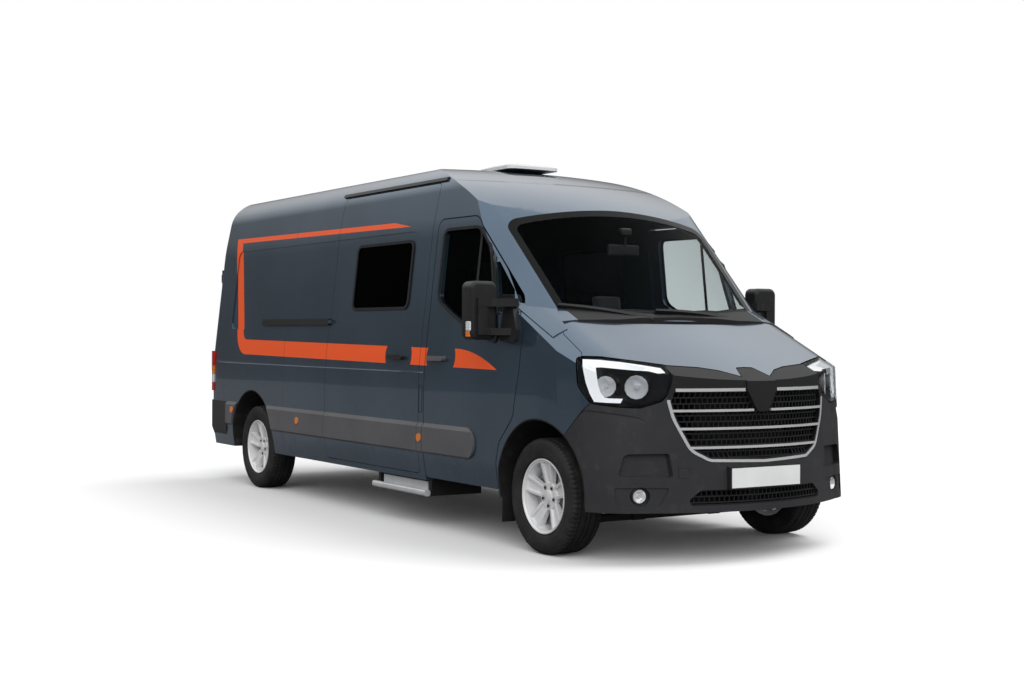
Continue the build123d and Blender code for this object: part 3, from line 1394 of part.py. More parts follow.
# Dashboard, steering wheel and seats
DASH_HALF = 850
DASH = [(-230, 880, 40), (-430, 1010, 40), (-400, 1230, 40), (-300, 1290, 40)]
DASH_LOW = 880
DASH_HIGH = 1320
with BuildPart() as dashboard:
    with BuildSketch(Plane(origin=(FRONT_AXLE, 0, 0), x_dir=(1, 0, 0), z_dir=(0, -1, 0))):
        with BuildLine():
            FilletPolyline((BULKHEAD_REAR, DASH_LOW), *[(x, z) for x, z, r in DASH], (BULKHEAD_REAR, DASH_HIGH),
                           radius=[r for x, z, r in DASH])
            Line((BULKHEAD_REAR, DASH_HIGH), (BULKHEAD_REAR, DASH_LOW))
        make_face()
    extrude(amount=DASH_HALF, both=True)
save(dashboard, "dashboard")
SEAT_Y = 420
WHEEL_CENTRE = (from_axle(-560), SEAT_Y, 1180)
WHEEL_TILT = 35
WHEEL_RING = (195, 163)
WHEEL_SPOKE = 50
WHEEL_BOSS = 70
WHEEL_HALF_THICK = 15
COLUMN_RADIUS = 28
COLUMN_LONG = 230
with BuildPart() as steering_wheel:
    tilt = radians(WHEEL_TILT)
    column = Plane(origin=WHEEL_CENTRE, x_dir=(0, 1, 0), z_dir=(-cos(tilt), 0, sin(tilt)))
    with BuildSketch(column):
        Circle(WHEEL_RING[0])
        Circle(WHEEL_RING[1], mode=Mode.SUBTRACT)
        Rectangle(WHEEL_RING[0] + WHEEL_RING[1] - WHEEL_HALF_THICK, WHEEL_SPOKE)
        Circle(WHEEL_BOSS)
    extrude(amount=WHEEL_HALF_THICK, both=True)
    with BuildSketch(column):
        Circle(COLUMN_RADIUS)
    extrude(amount=-COLUMN_LONG)
    add(dashboard.part, mode=Mode.SUBTRACT)
save(steering_wheel, "steering_wheel")
SEAT_HALF = 255
SEAT_REAR = -1250
SEAT_FRONT = -760
SEAT = [
    (-1190, 820, 30),
    (-1330, 1560, 30),
    (-1250, 1600, 30),
    (-1130, 980, 60),
    (-680, 960, 50),
    (-660, 840, 30),
]
with BuildPart() as seats:
    for y in (SEAT_Y, -SEAT_Y):
        with BuildSketch(Plane(origin=(FRONT_AXLE, y, 0), x_dir=(1, 0, 0), z_dir=(0, -1, 0))):
            with BuildLine():
                FilletPolyline((SEAT_REAR, FLOOR_TOP), *[(x, z) for x, z, r in SEAT], (SEAT_FRONT, FLOOR_TOP),
                               radius=[r for x, z, r in SEAT])
                Line((SEAT_FRONT, FLOOR_TOP), (SEAT_REAR, FLOOR_TOP))
            make_face()
        extrude(amount=SEAT_HALF, both=True)
save(seats, "cab_seats")

# Engine block on its crossmember, with lower arms
ENGINE = (480, 700, 520)
ENGINE_PLACE = (390, 720)
CROSSMEMBER = (320, 860, 84)
CROSSMEMBER_PLACE = (60, 280)
ARM = (76, 1380)
ARM_LOW = 170
ARM_TOP = 208
ARM_LINK = (120, 90)
ARM_LINK_Y = 300
RAIL_HALF = 45
RAIL_X = (10, 450)
RAIL_HEIGHT = (260, 320)
MOUNT_Y = 280
MOUNT_X = (330, 450)
MOUNT_HEIGHT = (302, ENGINE_PLACE[1] - ENGINE[2] / 2)
BUFFER_Y = 380
BUFFER_X = (-100, -20)
BUFFER_HEIGHT = (300, FLOOR_Z)
with BuildPart() as engine:
    with Locations((from_axle(ENGINE_PLACE[0]), 0, ENGINE_PLACE[1])):
        Box(*ENGINE)
save(engine, "engine_block")
with BuildPart() as subframe:
    with Locations((from_axle(CROSSMEMBER_PLACE[0]), 0, CROSSMEMBER_PLACE[1])):
        Box(*CROSSMEMBER)
    add(block(-ARM[0] / 2, ARM[0] / 2, -ARM[1] / 2, ARM[1] / 2, ARM_LOW, ARM_TOP))
    for side in (1, -1):
        link_y0, link_y1 = side * (ARM_LINK_Y - ARM_LINK[1] / 2), side * (ARM_LINK_Y + ARM_LINK[1] / 2)
        add(block(-ARM_LINK[0] / 2, ARM_LINK[0] / 2, link_y0, link_y1, ARM_LOW, CROSSMEMBER_PLACE[1]))
        rail_y0, rail_y1 = side * (MOUNT_Y - RAIL_HALF), side * (MOUNT_Y + RAIL_HALF)
        add(block(*MOUNT_X, rail_y0, rail_y1, *MOUNT_HEIGHT))
        add(block(*RAIL_X, rail_y0, rail_y1, *RAIL_HEIGHT))
        add(block(*BUFFER_X, side * (BUFFER_Y - RAIL_HALF), side * (BUFFER_Y + RAIL_HALF), *BUFFER_HEIGHT))
save(subframe, "front_subframe")

# Steering knuckles with damper struts
KNUCKLE_Y = 700
KNUCKLE = (70, 36)
KNUCKLE_TOP = 545
STRUT_RADIUS = 28
STRUT_TOP = 780
DISC_RADIUS = 130
DISC = 22
DISC_OUT = 20
for side, name in ((1, "left"), (-1, "right")):
    with BuildPart() as knuckle:
        add(block(-KNUCKLE[0] / 2, KNUCKLE[0] / 2, side * (KNUCKLE_Y - KNUCKLE[1] / 2),
                  side * (KNUCKLE_Y + KNUCKLE[1] / 2), ARM_TOP + SEAT_GAP, KNUCKLE_TOP))
        with BuildSketch(Plane(origin=(FRONT_AXLE, side * KNUCKLE_Y, KNUCKLE_TOP - STRUT_RADIUS))):
            Circle(STRUT_RADIUS)
        extrude(amount=STRUT_TOP - KNUCKLE_TOP + STRUT_RADIUS)
        spindle = Plane(origin=(FRONT_AXLE, side * KNUCKLE_Y, TYRE_RADIUS), z_dir=(0, side, 0))
        with BuildSketch(spindle):
            Circle(HUB_RADIUS)
        extrude(amount=FRONT_TRACK / 2 - KNUCKLE_Y + SPINDLE_OUT)
        with BuildSketch(spindle.offset(DISC_OUT)):
            Circle(DISC_RADIUS)
        extrude(amount=DISC)
    save(knuckle, "knuckle_" + name)

# Rear axle with leaf springs
AXLE_TUBE = 44
AXLE_HALF = 740
SPRING_Y = 520
SPRING_WIDE = 70
SPRING = (1300, 275, 305)
HANGER = 40
BRAKE_Y = (690, 710)
BRAKE_HALF = (30, 60)
with BuildPart() as rear_axle:
    for radius, half in ((AXLE_TUBE, AXLE_HALF), (HUB_RADIUS, REAR_TRACK / 2 + SPINDLE_OUT)):
        with BuildSketch(Plane(origin=(REAR_AXLE, -half, TYRE_RADIUS), z_dir=(0, 1, 0))):
            Circle(radius)
        extrude(amount=2 * half)
    for side in (1, -1):
        long, low, high = SPRING
        y0, y1 = side * (SPRING_Y - SPRING_WIDE / 2), side * (SPRING_Y + SPRING_WIDE / 2)
        add(block(-WHEELBASE - long / 2, -WHEELBASE + long / 2, y0, y1, low, high))
        for end in (-WHEELBASE - long / 2, -WHEELBASE + long / 2 - HANGER):
            add(block(end, end + HANGER, y0, y1, low, FLOOR_Z))
        add(block(-WHEELBASE - BRAKE_HALF[0], -WHEELBASE + BRAKE_HALF[0], side * BRAKE_Y[0], side * BRAKE_Y[1],
                  TYRE_RADIUS - BRAKE_HALF[1], TYRE_RADIUS + BRAKE_HALF[1]))
save(rear_axle, "rear_axle")

# Wheels: a rim with five paired spokes and a plain tyre
BEAD = 8
FLANGE = 7
BEAD_ABOVE = 4
HUB_BOSS = 62
HUB_BOSS_IN = 20
for front, side in ((True, 1), (True, -1), (False, 1), (False, -1)):
    axle = FRONT_AXLE if front else REAR_AXLE
    middle = (FRONT_TRACK if front else REAR_TRACK) / 2
    name = ("front_" if front else "rear_") + ("left" if side > 0 else "right")
    hub = Plane(origin=(axle, side * middle, TYRE_RADIUS), x_dir=(1, 0, 0), z_dir=(0, side, 0))
    turn = Axis((axle, side * middle, TYRE_RADIUS), (0, side, 0))
    radial = Plane(origin=(axle, side * middle, TYRE_RADIUS), x_dir=(0, side, 0), z_dir=(-side, 0, 0))
    up = radial.y_dir.Z
    half = RIM_WIDTH / 2
    bead = half - BEAD
    flange = half - FLANGE
    wide = TYRE_WIDTH / 2
    tyre_half = [(bead, RIM_SEAT + SEAT_GAP), (bead, RIM_RADIUS + BEAD_ABOVE), (wide, TYRE_BULGE),
                 (wide - TYRE_SHOULDER, TYRE_RADIUS)]
    rim_half = [(half, RIM_SEAT - RIM_WALL), (half, RIM_RADIUS), (flange, RIM_RADIUS), (flange, RIM_SEAT)]
    with BuildPart() as tyre:
        with BuildSketch(radial):
            with BuildLine():
                Polyline(*[(y, up * r) for y, r in tyre_half],
                         *[(-y, up * r) for y, r in reversed(tyre_half)], close=True)
            make_face()
        revolve(axis=turn)
    save(tyre, "tyre_" + name)
    with BuildPart() as rim:
        with BuildSketch(radial):
            with BuildLine():
                Polyline(*[(y, up * r) for y, r in rim_half],
                         *[(-y, up * r) for y, r in reversed(rim_half)], close=True)
            make_face()
        revolve(axis=turn)
        with BuildSketch(hub.offset(RIM_FACE - SPOKE)):
            Circle(RIM_SEAT - RIM_WALL / 2)
            with PolarLocations(0, SPOKES):
                Polygon(*SPOKE_WINDOW, align=None, mode=Mode.SUBTRACT)
            with PolarLocations(0, SPOKES, start_angle=180 / SPOKES):
                Polygon(*SPOKE_SLOT, align=None, mode=Mode.SUBTRACT)
            with PolarLocations(BOLT_CIRCLE / 2, SPOKES, start_angle=180 / SPOKES):
                Circle(BOLT_HOLE, mode=Mode.SUBTRACT)
        extrude(amount=SPOKE)
        with BuildSketch(hub.offset(-HUB_BOSS_IN)):
            Circle(HUB_BOSS - BOLT_HOLE)
        extrude(amount=HUB_BOSS_IN + RIM_FACE - SPOKE)
        with BuildSketch(hub.offset(-RIM_WIDTH)):
            Circle(HUB_RADIUS + SEAT_GAP)
        extrude(amount=RIM_WIDTH + SPINDLE_OUT + SEAT_GAP, mode=Mode.SUBTRACT)
        with BuildSketch(hub.offset(RIM_FACE)):
            Circle(HUB_CAP)
        extrude(amount=HUB_CAP_PROUD, taper=RIM_LIP)
    save(rim, "rim_" + name)

# Entry step under the sliding door: a housing with runners and a tread that slides out
bracket_in, bracket_out = STEP_BRACKET_Y
with BuildPart() as step_housing:
    add(block(STEP_REAR, STEP_FRONT, -bracket_out, -bracket_in, SILL_Z - STEP_RUNNER_TALL, SILL_Z))
    run_top = STEP_PLATE_Z - SEAT_GAP
    for x, way in ((STEP_REAR, 1), (STEP_FRONT, -1)):
        add(block(x, x + way * STEP_BRACKET, -bracket_out, -bracket_in, STEP_LOW, SILL_Z))
        add(block(x, x + way * (STEP_BRACKET + STEP_RUNNER), -bracket_out, -bracket_in,
                  run_top - STEP_RUNNER_TALL, run_top))
        add(block(x + way * STEP_POST, x + way * 2 * STEP_POST, STEP_NOSE - bracket_out,
                  -bracket_in - STEP_SET_BACK, SILL_Z - STEP_RUNNER_TALL, FLOOR_Z))
save(step_housing, "step_housing")
with BuildPart() as step_tread:
    with BuildSketch(Plane.YZ.offset(from_axle(STEP_REAR))):
        with Locations((STEP_NOSE / 2 - STEP_NOSE_Y, (STEP_LOW + STEP_HIGH) / 2)):
            RectangleRounded(STEP_NOSE, STEP_HIGH - STEP_LOW, STEP_NOSE_ROUND)
    extrude(amount=STEP_FRONT - STEP_REAR)
    plate_x0, plate_x1 = STEP_REAR + STEP_SET_BACK, STEP_FRONT - STEP_SET_BACK
    add(block(plate_x0, plate_x1, STEP_NOSE / 2 - STEP_NOSE_Y, -STEP_PLATE_IN,
              STEP_PLATE_Z, STEP_PLATE_Z + STEP_PLATE))
    add(block(plate_x0, plate_x1, -STEP_KICK_Y, STEP_KICK - STEP_KICK_Y, STEP_PLATE_Z, STEP_KICK_TOP))
save(step_tread, "step_tread")

# Blank number plate in its holder
PLATE = (40, 520, 112)
PLATE_Z = 490
with BuildPart() as plate:
    with Locations((FRONT_X - PLATE[0] / 2, 0, PLATE_Z)):
        Box(*PLATE)
    add(nose_body(-SEAT_GAP), mode=Mode.SUBTRACT)
save(plate, "front_plate")
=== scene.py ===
# %% [markdown]
# # A camper van dressed for its portrait
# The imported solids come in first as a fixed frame, in metres, with the nose along +X, the van's left side
# along +Y and the road at zero height. Everything below adds finish or finer pieces around that frame, and
# each new piece rides on one of its bodies.

# %% Load the frame
from math import cos, pi, radians, sin

import bmesh
import bpy
from mathutils import Matrix, Vector
from mathutils.bvhtree import BVHTree


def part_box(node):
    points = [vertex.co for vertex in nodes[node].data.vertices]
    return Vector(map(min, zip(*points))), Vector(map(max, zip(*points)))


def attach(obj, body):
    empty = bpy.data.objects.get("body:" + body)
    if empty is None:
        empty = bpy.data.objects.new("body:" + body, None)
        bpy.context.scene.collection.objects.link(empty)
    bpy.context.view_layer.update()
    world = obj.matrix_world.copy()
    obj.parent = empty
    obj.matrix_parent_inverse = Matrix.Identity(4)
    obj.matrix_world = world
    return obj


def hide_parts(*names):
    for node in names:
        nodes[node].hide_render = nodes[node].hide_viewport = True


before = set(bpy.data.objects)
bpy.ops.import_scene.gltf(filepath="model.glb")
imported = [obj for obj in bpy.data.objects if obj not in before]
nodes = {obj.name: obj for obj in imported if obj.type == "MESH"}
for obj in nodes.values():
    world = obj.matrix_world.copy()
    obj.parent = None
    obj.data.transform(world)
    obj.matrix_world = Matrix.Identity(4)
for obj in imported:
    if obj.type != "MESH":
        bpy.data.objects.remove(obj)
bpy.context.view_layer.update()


def as_mesh(shape, name):
    # The mesh of a drawn shape, which is then done with
    mesh = bpy.data.meshes.new(name)
    shape.to_mesh(mesh)
    shape.free()
    return mesh


def placed(name, data):
    thing = bpy.data.objects.new(name, data)
    bpy.context.collection.objects.link(thing)
    return thing


# %% [markdown]
# ## Camera
# A photograph fixes a camera by where straight lines meet. Here the place, the three turns and the focal
# length were solved beforehand from wheel centres and panel edges, so the camera is written as numbers: a
# place in the part's frame, the yaw from the nose, a slight pitch and roll, and a focal length in pixels.

# %% Camera
PHOTO_WIDTH = 1024
FOCAL_PIXELS = 1450.23
SENSOR_WIDTH = 36
FAR_CLIP = 200
CAMERA_PLACE = Vector((9.3600, -5.7322, 1.3034))
CAMERA_YAW, CAMERA_PITCH, CAMERA_ROLL = radians(32.543), radians(-0.278), radians(0.258)
look = Vector((-cos(CAMERA_YAW) * cos(CAMERA_PITCH), sin(CAMERA_YAW) * cos(CAMERA_PITCH), sin(CAMERA_PITCH)))
level = look.cross(Vector((0, 0, 1))).normalized()
upright = level.cross(look)
right = level * cos(CAMERA_ROLL) + upright * sin(CAMERA_ROLL)
up = upright * cos(CAMERA_ROLL) - level * sin(CAMERA_ROLL)
camera = placed("camera", bpy.data.cameras.new("camera"))
camera.matrix_world = Matrix((right, up, -look)).transposed().to_4x4()
camera.location = CAMERA_PLACE
camera.data.sensor_width = SENSOR_WIDTH
camera.data.lens = FOCAL_PIXELS / PHOTO_WIDTH * SENSOR_WIDTH
camera.data.clip_end = FAR_CLIP
bpy.context.scene.camera = camera
bpy.context.scene.view_settings.view_transform = "Standard"
print("lens", round(camera.data.lens, 2), "mm")

# %% [markdown]
# ## Shader expressions
# Node trees are easier to read as sums than as wiring. This class wraps one output socket; plus, minus,
# times and the like add a Math node, and `add` places any other node from its type, its settings and the
# values of its sockets.


# %% Shader expressions
class Wire:
    def __init__(self, tree, socket):
        self.tree, self.socket = tree, socket

    def add(self, kind, settings=None, values=None, output=0):
        node = self.tree.nodes.new(kind)
        for key, value in (settings or {}).items():
            setattr(node, key, value)
        for key, value in (values or {}).items():
            if isinstance(value, Wire):
                self.tree.links.new(value.socket, node.inputs[key])
            else:
                node.inputs[key].default_value = value
        return Wire(self.tree, node.outputs[output])

    def math(self, operation, first, second=0.0):
        return self.add("ShaderNodeMath", {"operation": operation}, {0: first, 1: second})

    def __add__(self, other):
        return self.math("ADD", self, other)

    def __sub__(self, other):
        return self.math("SUBTRACT", self, other)

    def __mul__(self, other):
        return self.math("MULTIPLY", self, other)

    def __truediv__(self, other):
        return self.math("DIVIDE", self, other)

    def __rsub__(self, other):
        return self.math("SUBTRACT", other, self)

    def __rtruediv__(self, other):
        return self.math("DIVIDE", other, self)

    __radd__, __rmul__ = __add__, __mul__

    def __gt__(self, other):
        return self.math("GREATER_THAN", self, other)

    def __lt__(self, other):
        return self.math("LESS_THAN", self, other)

    def __abs__(self):
        return self.math("ABSOLUTE", self)

    def low(self, other):
        return self.math("MINIMUM", self, other)

    def high(self, other):
        return self.math("MAXIMUM", self, other)

    def root(self):
        return self.math("SQRT", self)

    def ramp(self, start, end, low=0.0, high=1.0):
        return self.add("ShaderNodeMapRange", {"interpolation_type": "SMOOTHSTEP"},
                        {"Value": self, "From Min": start, "From Max": end, "To Min": low, "To Max": high})

    def axes(self):
        parts = self.add("ShaderNodeSeparateXYZ", None, {0: self}).socket.node.outputs
        return [Wire(self.tree, part) for part in parts]

    def noise(self, scale, detail=2.0, roughness=0.5):
        return self.add("ShaderNodeTexNoise", None,
                        {"Vector": self, "Scale": scale, "Detail": detail, "Roughness": roughness})

    def wave(self, bands, scale, distortion=0.0):
        return self.add("ShaderNodeTexWave", {"bands_direction": bands},
                        {"Vector": self, "Scale": scale, "Distortion": distortion}, 1)

    def stretch(self, x, y, z):
        return self.add("ShaderNodeMapping", None, {"Vector": self, "Scale": (x, y, z)})

    def tint(self, first, second):
        # A colour between two, with this value as the share of the second
        values = {"Factor": self}
        for key, colour in ((6, first), (7, second)):
            values[key] = colour if isinstance(colour, Wire) else (*colour, 1)
        return self.add("ShaderNodeMix", {"data_type": "RGBA"}, values, 2)

    def bump(self, strength, distance):
        return self.add("ShaderNodeBump", None, {"Height": self, "Strength": strength, "Distance": distance})


class Finish:
    # A new material with its Principled shader and the object's own coordinates
    def __init__(self, name):
        self.material = bpy.data.materials.new(name)
        self.material.use_nodes = True
        self.tree = self.material.node_tree
        self.shader = self.tree.nodes["Principled BSDF"]
        self.surface = Wire(self.tree, self.shader.outputs[0])
        self.place = self.surface.add("ShaderNodeTexCoord", None, None, "Object")

    def set(self, **values):
        for key, value in values.items():
            socket = self.shader.inputs[key.replace("_", " ")]
            if isinstance(value, Wire):
                self.tree.links.new(value.socket, socket)
            elif isinstance(value, tuple) and len(value) == 3 and socket.type == "RGBA":
                socket.default_value = (*value, 1)
            else:
                socket.default_value = value
        return self

    def mixed(self, factor, first):
        # The Principled shader laid over another one, by a factor
        mix = factor.add("ShaderNodeMixShader", None, {0: factor, 1: first, 2: self.surface})
        self.tree.links.new(mix.socket, self.tree.nodes["Material Output"].inputs[0])


print("shader helpers ready")

# %% [markdown]
# ## Floor and light
# A studio cyclorama is a pale floor that runs into a pale backdrop. The world does both jobs here: it lights
# the van softly from all round, and the camera finds it white, also through glass. Mirror rays find it dark
# near the horizon and white overhead, as trees and sky do in the photo. A wide sun from above gives the soft
# shadow on the floor and a second one fills the near side; both are kept out of mirror rays, where their round
# discs would show. The floor throws little light back up, as a road does, so sills and bumper stay dark below.

# %% Floor and light
FLOOR_HALF = 40
FLOOR_PALE, FLOOR_BOUNCE = (0.94, 0.94, 0.94), (0.10, 0.10, 0.10)
FLOOR_IN_GLOSS = 0.08
SKY_LIGHT = 0.60
GLOSS_LOW, GLOSS_RISE = 0.09, (0.10, 0.60)


def rays_of(wire):
    # Whether a ray comes from the camera, off a mirror or through glass
    outputs = wire.add("ShaderNodeLightPath").socket.node.outputs
    return [Wire(wire.tree, outputs[key]) for key in ("Is Camera Ray", "Is Glossy Ray", "Is Transmission Ray")]


world = bpy.data.worlds.new("studio")
world.use_nodes = True
bpy.context.scene.world = world
background = world.node_tree.nodes["Background"]
sky = Wire(world.node_tree, background.outputs[0])
direct, mirrored, passed = rays_of(sky)
seen = direct.high(mirrored).high(passed)
height = sky.add("ShaderNodeTexCoord").axes()[2]
gloss = height.ramp(*GLOSS_RISE, GLOSS_LOW, 1.0)
shown = mirrored * gloss + (1 - mirrored)
level_of_light = seen * shown + (1 - seen) * SKY_LIGHT
world.node_tree.links.new(level_of_light.socket, background.inputs["Strength"])
background.inputs["Color"].default_value = (1, 1, 1, 1)

shape = bmesh.new()
bmesh.ops.create_grid(shape, x_segments=2, y_segments=2, size=FLOOR_HALF)
floor = placed("floor", as_mesh(shape, "floor"))
pale = Finish("pale_floor")
direct, mirrored, passed = rays_of(pale.place)
bright = direct.high(passed).high(mirrored * FLOOR_IN_GLOSS)
pale.set(Base_Color=bright.tint(FLOOR_BOUNCE, FLOOR_PALE), Roughness=0.9, Specular_IOR_Level=0.0)
floor.data.materials.append(pale.material)

LAMPS = {  # strength, width of the disc, the three turns
    "softbox_above": (1.5, 40, (-30, 12, 0)),
    "softbox_fill": (1.9, 60, (62, 0, 57)),
}
for name, (strength, width, turns) in LAMPS.items():
    lamp = placed(name, bpy.data.lights.new(name, "SUN"))
    lamp.data.energy = strength
    lamp.data.angle = radians(width)
    lamp.rotation_euler = [radians(turn) for turn in turns]
    lamp.visible_glossy = False
print("floor", 2 * FLOOR_HALF, "m across")

# %% [markdown]
# ## Paint with its stripes
# The body wears a dark blue-grey metallic paint under clear lacquer, with orange vinyl stripes and fine panel
# seams. Stripes could be thin sheets laid on the skin, but a mask written in the part's own coordinates lies
# on every panel it crosses and stays put when a door opens. Distances to lines make the straight edges, and a
# rounded corner is the distance to an arc.

# %% Paint
AXLE = 2.2435
WHEELBASE = 4.332
ORANGE, ORANGE_WORN = (1.0, 0.108, 0.008), (0.94, 0.092, 0.006)
ROAD_DUST, SEAM_DARK = (0.16, 0.15, 0.13), (0.004, 0.005, 0.006)
PAINT_DEEP, PAINT_LIGHT = (0.066, 0.108, 0.160), (0.145, 0.220, 0.310)
STRIPE_LINES = {  # two points of each edge: along from the front axle, and height
    "band_foot": ((-4.412, 1.120), (-0.454, 1.081)), "band_head": ((-4.468, 1.246), (-0.986, 1.204)),
    "rear": ((-4.759, 1.414), (-4.947, 2.031)), "rear_inner": ((-4.622, 1.413), (-4.818, 2.025)),
    "bend_head": ((-4.890, 2.122), (-2.010, 2.084)), "top_foot": ((-4.869, 2.085), (-1.764, 2.046)),
    "top_head": ((-4.890, 2.124), (-2.010, 2.086)), "top_tip": ((-2.010, 2.086), (-1.764, 2.046)),
}
BEND_OUTSIDE, BEND_INSIDE = 0.150, 0.060
BOW_HEIGHT, BOW = 1.150, 4.5  # the cut ends of the band are bowed about this height
BEND_END, PILLAR_REAR, PILLAR_FRONT, FIN_REAR = -1.940, -1.556, -1.350, -0.968
FIN_TOP, FIN_SWEEP, FIN_SWEEP_FROM = 1.207, 0.445, 0.986
STRIPE_EDGE, STRIPE_FROM, STRIPE_OUTWARD = 0.0012, 0.80, 0.1
SEAMS = (-3.690, -4.985)
SEAM_HALF, SEAM_FROM, SEAM_FOOT = 0.0022, 0.70, 0.33


def beyond(along, height, start, end):
    # Distance to the left of a line drawn from one point to another
    run, rise = end[0] - start[0], end[1] - start[1]
    length = (run * run + rise * rise) ** 0.5
    return ((height - start[1]) * run - (along - start[0]) * rise) / length


def rounded(first, second, radius):
    # Inside distance of two edges whose corner is rounded
    a, b = (radius - first).high(0), (radius - second).high(0)
    return radius - (a * a + b * b).root()


def stripe_mask(place):
    x, y, z = place.axes()
    along = x - AXLE
    bow = (z - BOW_HEIGHT) * (z - BOW_HEIGHT) * BOW
    edge = {name: beyond(along, z, *ends) for name, ends in STRIPE_LINES.items()}
    under = {name: 0 - edge[name] for name in ("band_head", "rear", "rear_inner", "bend_head", "top_head", "top_tip")}
    bottom, top, rear = edge["band_foot"], under["band_head"], under["rear"]
    bend = rounded(rear, bottom, BEND_OUTSIDE).low(0 - rounded(under["rear_inner"], 0 - top, BEND_INSIDE))
    bend = bend.low((BEND_END + bow) - along).low(under["bend_head"])
    upper = edge["top_foot"].low(under["top_head"]).low(rear).low(under["top_tip"])
    pillar = bottom.low(top).low(along - (PILLAR_REAR - bow)).low((PILLAR_FRONT + bow) - along)
    sweep = (along + FIN_SWEEP_FROM) * (along + FIN_SWEEP_FROM) * FIN_SWEEP
    fin = bottom.low(FIN_TOP - sweep - z).low(along - (FIN_REAR - bow))
    mask = bend.high(upper).high(pillar).high(fin).ramp(-STRIPE_EDGE, STRIPE_EDGE)
    # Only the outer skin is striped: there the normal and the place lie on the same side
    outward = place.add("ShaderNodeTexCoord", None, None, "Normal").axes()[1] * y
    return mask * (abs(y) > STRIPE_FROM) * (outward > STRIPE_OUTWARD), along, y, z


paint = Finish("metallic_paint")
stripe, along, across, z = stripe_mask(paint.place)
flake = paint.place.noise(900, 2, 0.6).ramp(0.35, 0.75)
cloud = paint.place.noise(1.3, 3).ramp(0.3, 0.7)
dust = paint.place.noise(6, 5, 0.65).ramp(0.45, 0.75) * z.ramp(0.95, 0.35)
seam = abs(along - SEAMS[0]).low(abs(along - SEAMS[1])) < SEAM_HALF
seam = seam * (abs(across) > SEAM_FROM) * (z > SEAM_FOOT)
colour = (flake * 0.55 + cloud * 0.25).tint(PAINT_DEEP, PAINT_LIGHT)
colour = stripe.tint(colour, (paint.place.noise(40, 2) * 0.25).tint(ORANGE, ORANGE_WORN))
colour = (dust * 0.10).tint(colour, ROAD_DUST)
colour = seam.tint(colour, SEAM_DARK)
peel = paint.place.noise(170, 1)
paint.set(
    Base_Color=colour,
    Metallic=(1 - stripe) * (1 - seam) * 0.85,
    Roughness=flake * 0.08 + stripe * 0.08 + dust * 0.10 + 0.26,
    Coat_Weight=1.0 - dust * 0.35 - stripe * 0.6,
    Coat_Roughness=0.035,
    Coat_IOR=1.50,
    Normal=(peel * 0.25 + (1 - seam)).bump(0.10, 0.0012),
)
print("paint", len(paint.tree.nodes), "shader nodes")

# %% [markdown]
# ## Plastics, metals and rubber
# Most trim is one of a few finishes: grained grey plastic, gloss black, chrome, silver lacquer, brushed
# aluminium, dark steel and rubber. Each gets its own grain from noise or cells at true size, a slow change of
# tone, and a little dust where dust settles.


# %% Plastics, metals and rubber
def grained(name, dark, light, roughness, grain_scale, grain_depth, dust_share=0.12):
    # Moulded plastic: leathery cells, slow clouds and dust
    finish = Finish(name)
    cells = finish.place.add("ShaderNodeTexVoronoi", {"feature": "SMOOTH_F1"},
                             {"Vector": finish.place, "Scale": grain_scale})
    slow = finish.place.noise(2.5, 4).ramp(0.3, 0.7)
    settled = finish.place.noise(14, 5, 0.7).ramp(0.5, 0.8) * dust_share
    base = (slow * 0.6 + cells * 0.4).tint(dark, light)
    finish.set(Base_Color=settled.tint(base, (0.16, 0.155, 0.15)),
               Roughness=cells * 0.12 + settled + roughness,
               Normal=cells.bump(0.25, grain_depth))
    return finish.material


def lacquer(name, dark, light, roughness, metallic=0.0, coat=0.0):
    # Smooth hard surface with faint clouding and fine scratches
    finish = Finish(name)
    slow = finish.place.noise(5, 4).ramp(0.3, 0.7)
    rubs = finish.place.stretch(1, 1, 14).noise(90, 3, 0.7).ramp(0.45, 0.75)
    finish.set(Base_Color=(slow * 0.7 + rubs * 0.3).tint(dark, light),
               Metallic=metallic, Coat_Weight=coat, Coat_Roughness=0.04,
               Roughness=rubs * 0.06 + slow * 0.03 + roughness,
               Normal=rubs.bump(0.03, 0.0004))
    return finish.material


def brushed(name, dark, light, turn, roughness=0.28, metallic=0.92):
    # Drawn metal: fine lines along one axis
    finish = Finish(name)
    lines = finish.place.stretch(*turn).noise(420, 3, 0.65)
    slow = finish.place.noise(8, 3).ramp(0.3, 0.7)
    finish.set(Base_Color=(lines * 0.6 + slow * 0.4).tint(dark, light), Metallic=metallic,
               Roughness=lines * 0.16 + roughness, Normal=lines.bump(0.12, 0.0004))
    return finish.material


def rubber(name, dust_share):
    finish = Finish(name)
    fine = finish.place.noise(320, 3, 0.6)
    slow = finish.place.noise(9, 4).ramp(0.35, 0.75)
    finish.set(Base_Color=(slow * dust_share).tint((0.011, 0.011, 0.012), (0.085, 0.080, 0.072)),
               Roughness=fine * 0.14 + slow * 0.10 + 0.58, Normal=fine.bump(0.22, 0.0006))
    return finish.material


bumper_grey = grained("bumper_plastic", (0.020, 0.020, 0.022), (0.030, 0.030, 0.033), 0.44, 620, 0.0004)
strip_grey = grained("rub_strip_plastic", (0.085, 0.086, 0.092), (0.118, 0.119, 0.126), 0.42, 560, 0.0004)
trim_black = grained("trim_plastic", (0.010, 0.010, 0.011), (0.018, 0.018, 0.019), 0.38, 700, 0.0003, 0.06)
liner_black = grained("liner_plastic", (0.008, 0.008, 0.008), (0.016, 0.015, 0.014), 0.62, 300, 0.0008, 0.22)
dash_grey = grained("dash_plastic", (0.018, 0.018, 0.019), (0.030, 0.030, 0.031), 0.52, 420, 0.0005, 0.03)
grille_black = grained("grille_plastic", (0.007, 0.007, 0.008), (0.012, 0.012, 0.013), 0.52, 700, 0.0003, 0.03)
gloss_black = lacquer("gloss_black", (0.004, 0.004, 0.005), (0.009, 0.009, 0.010), 0.16, 0.0, 0.6)
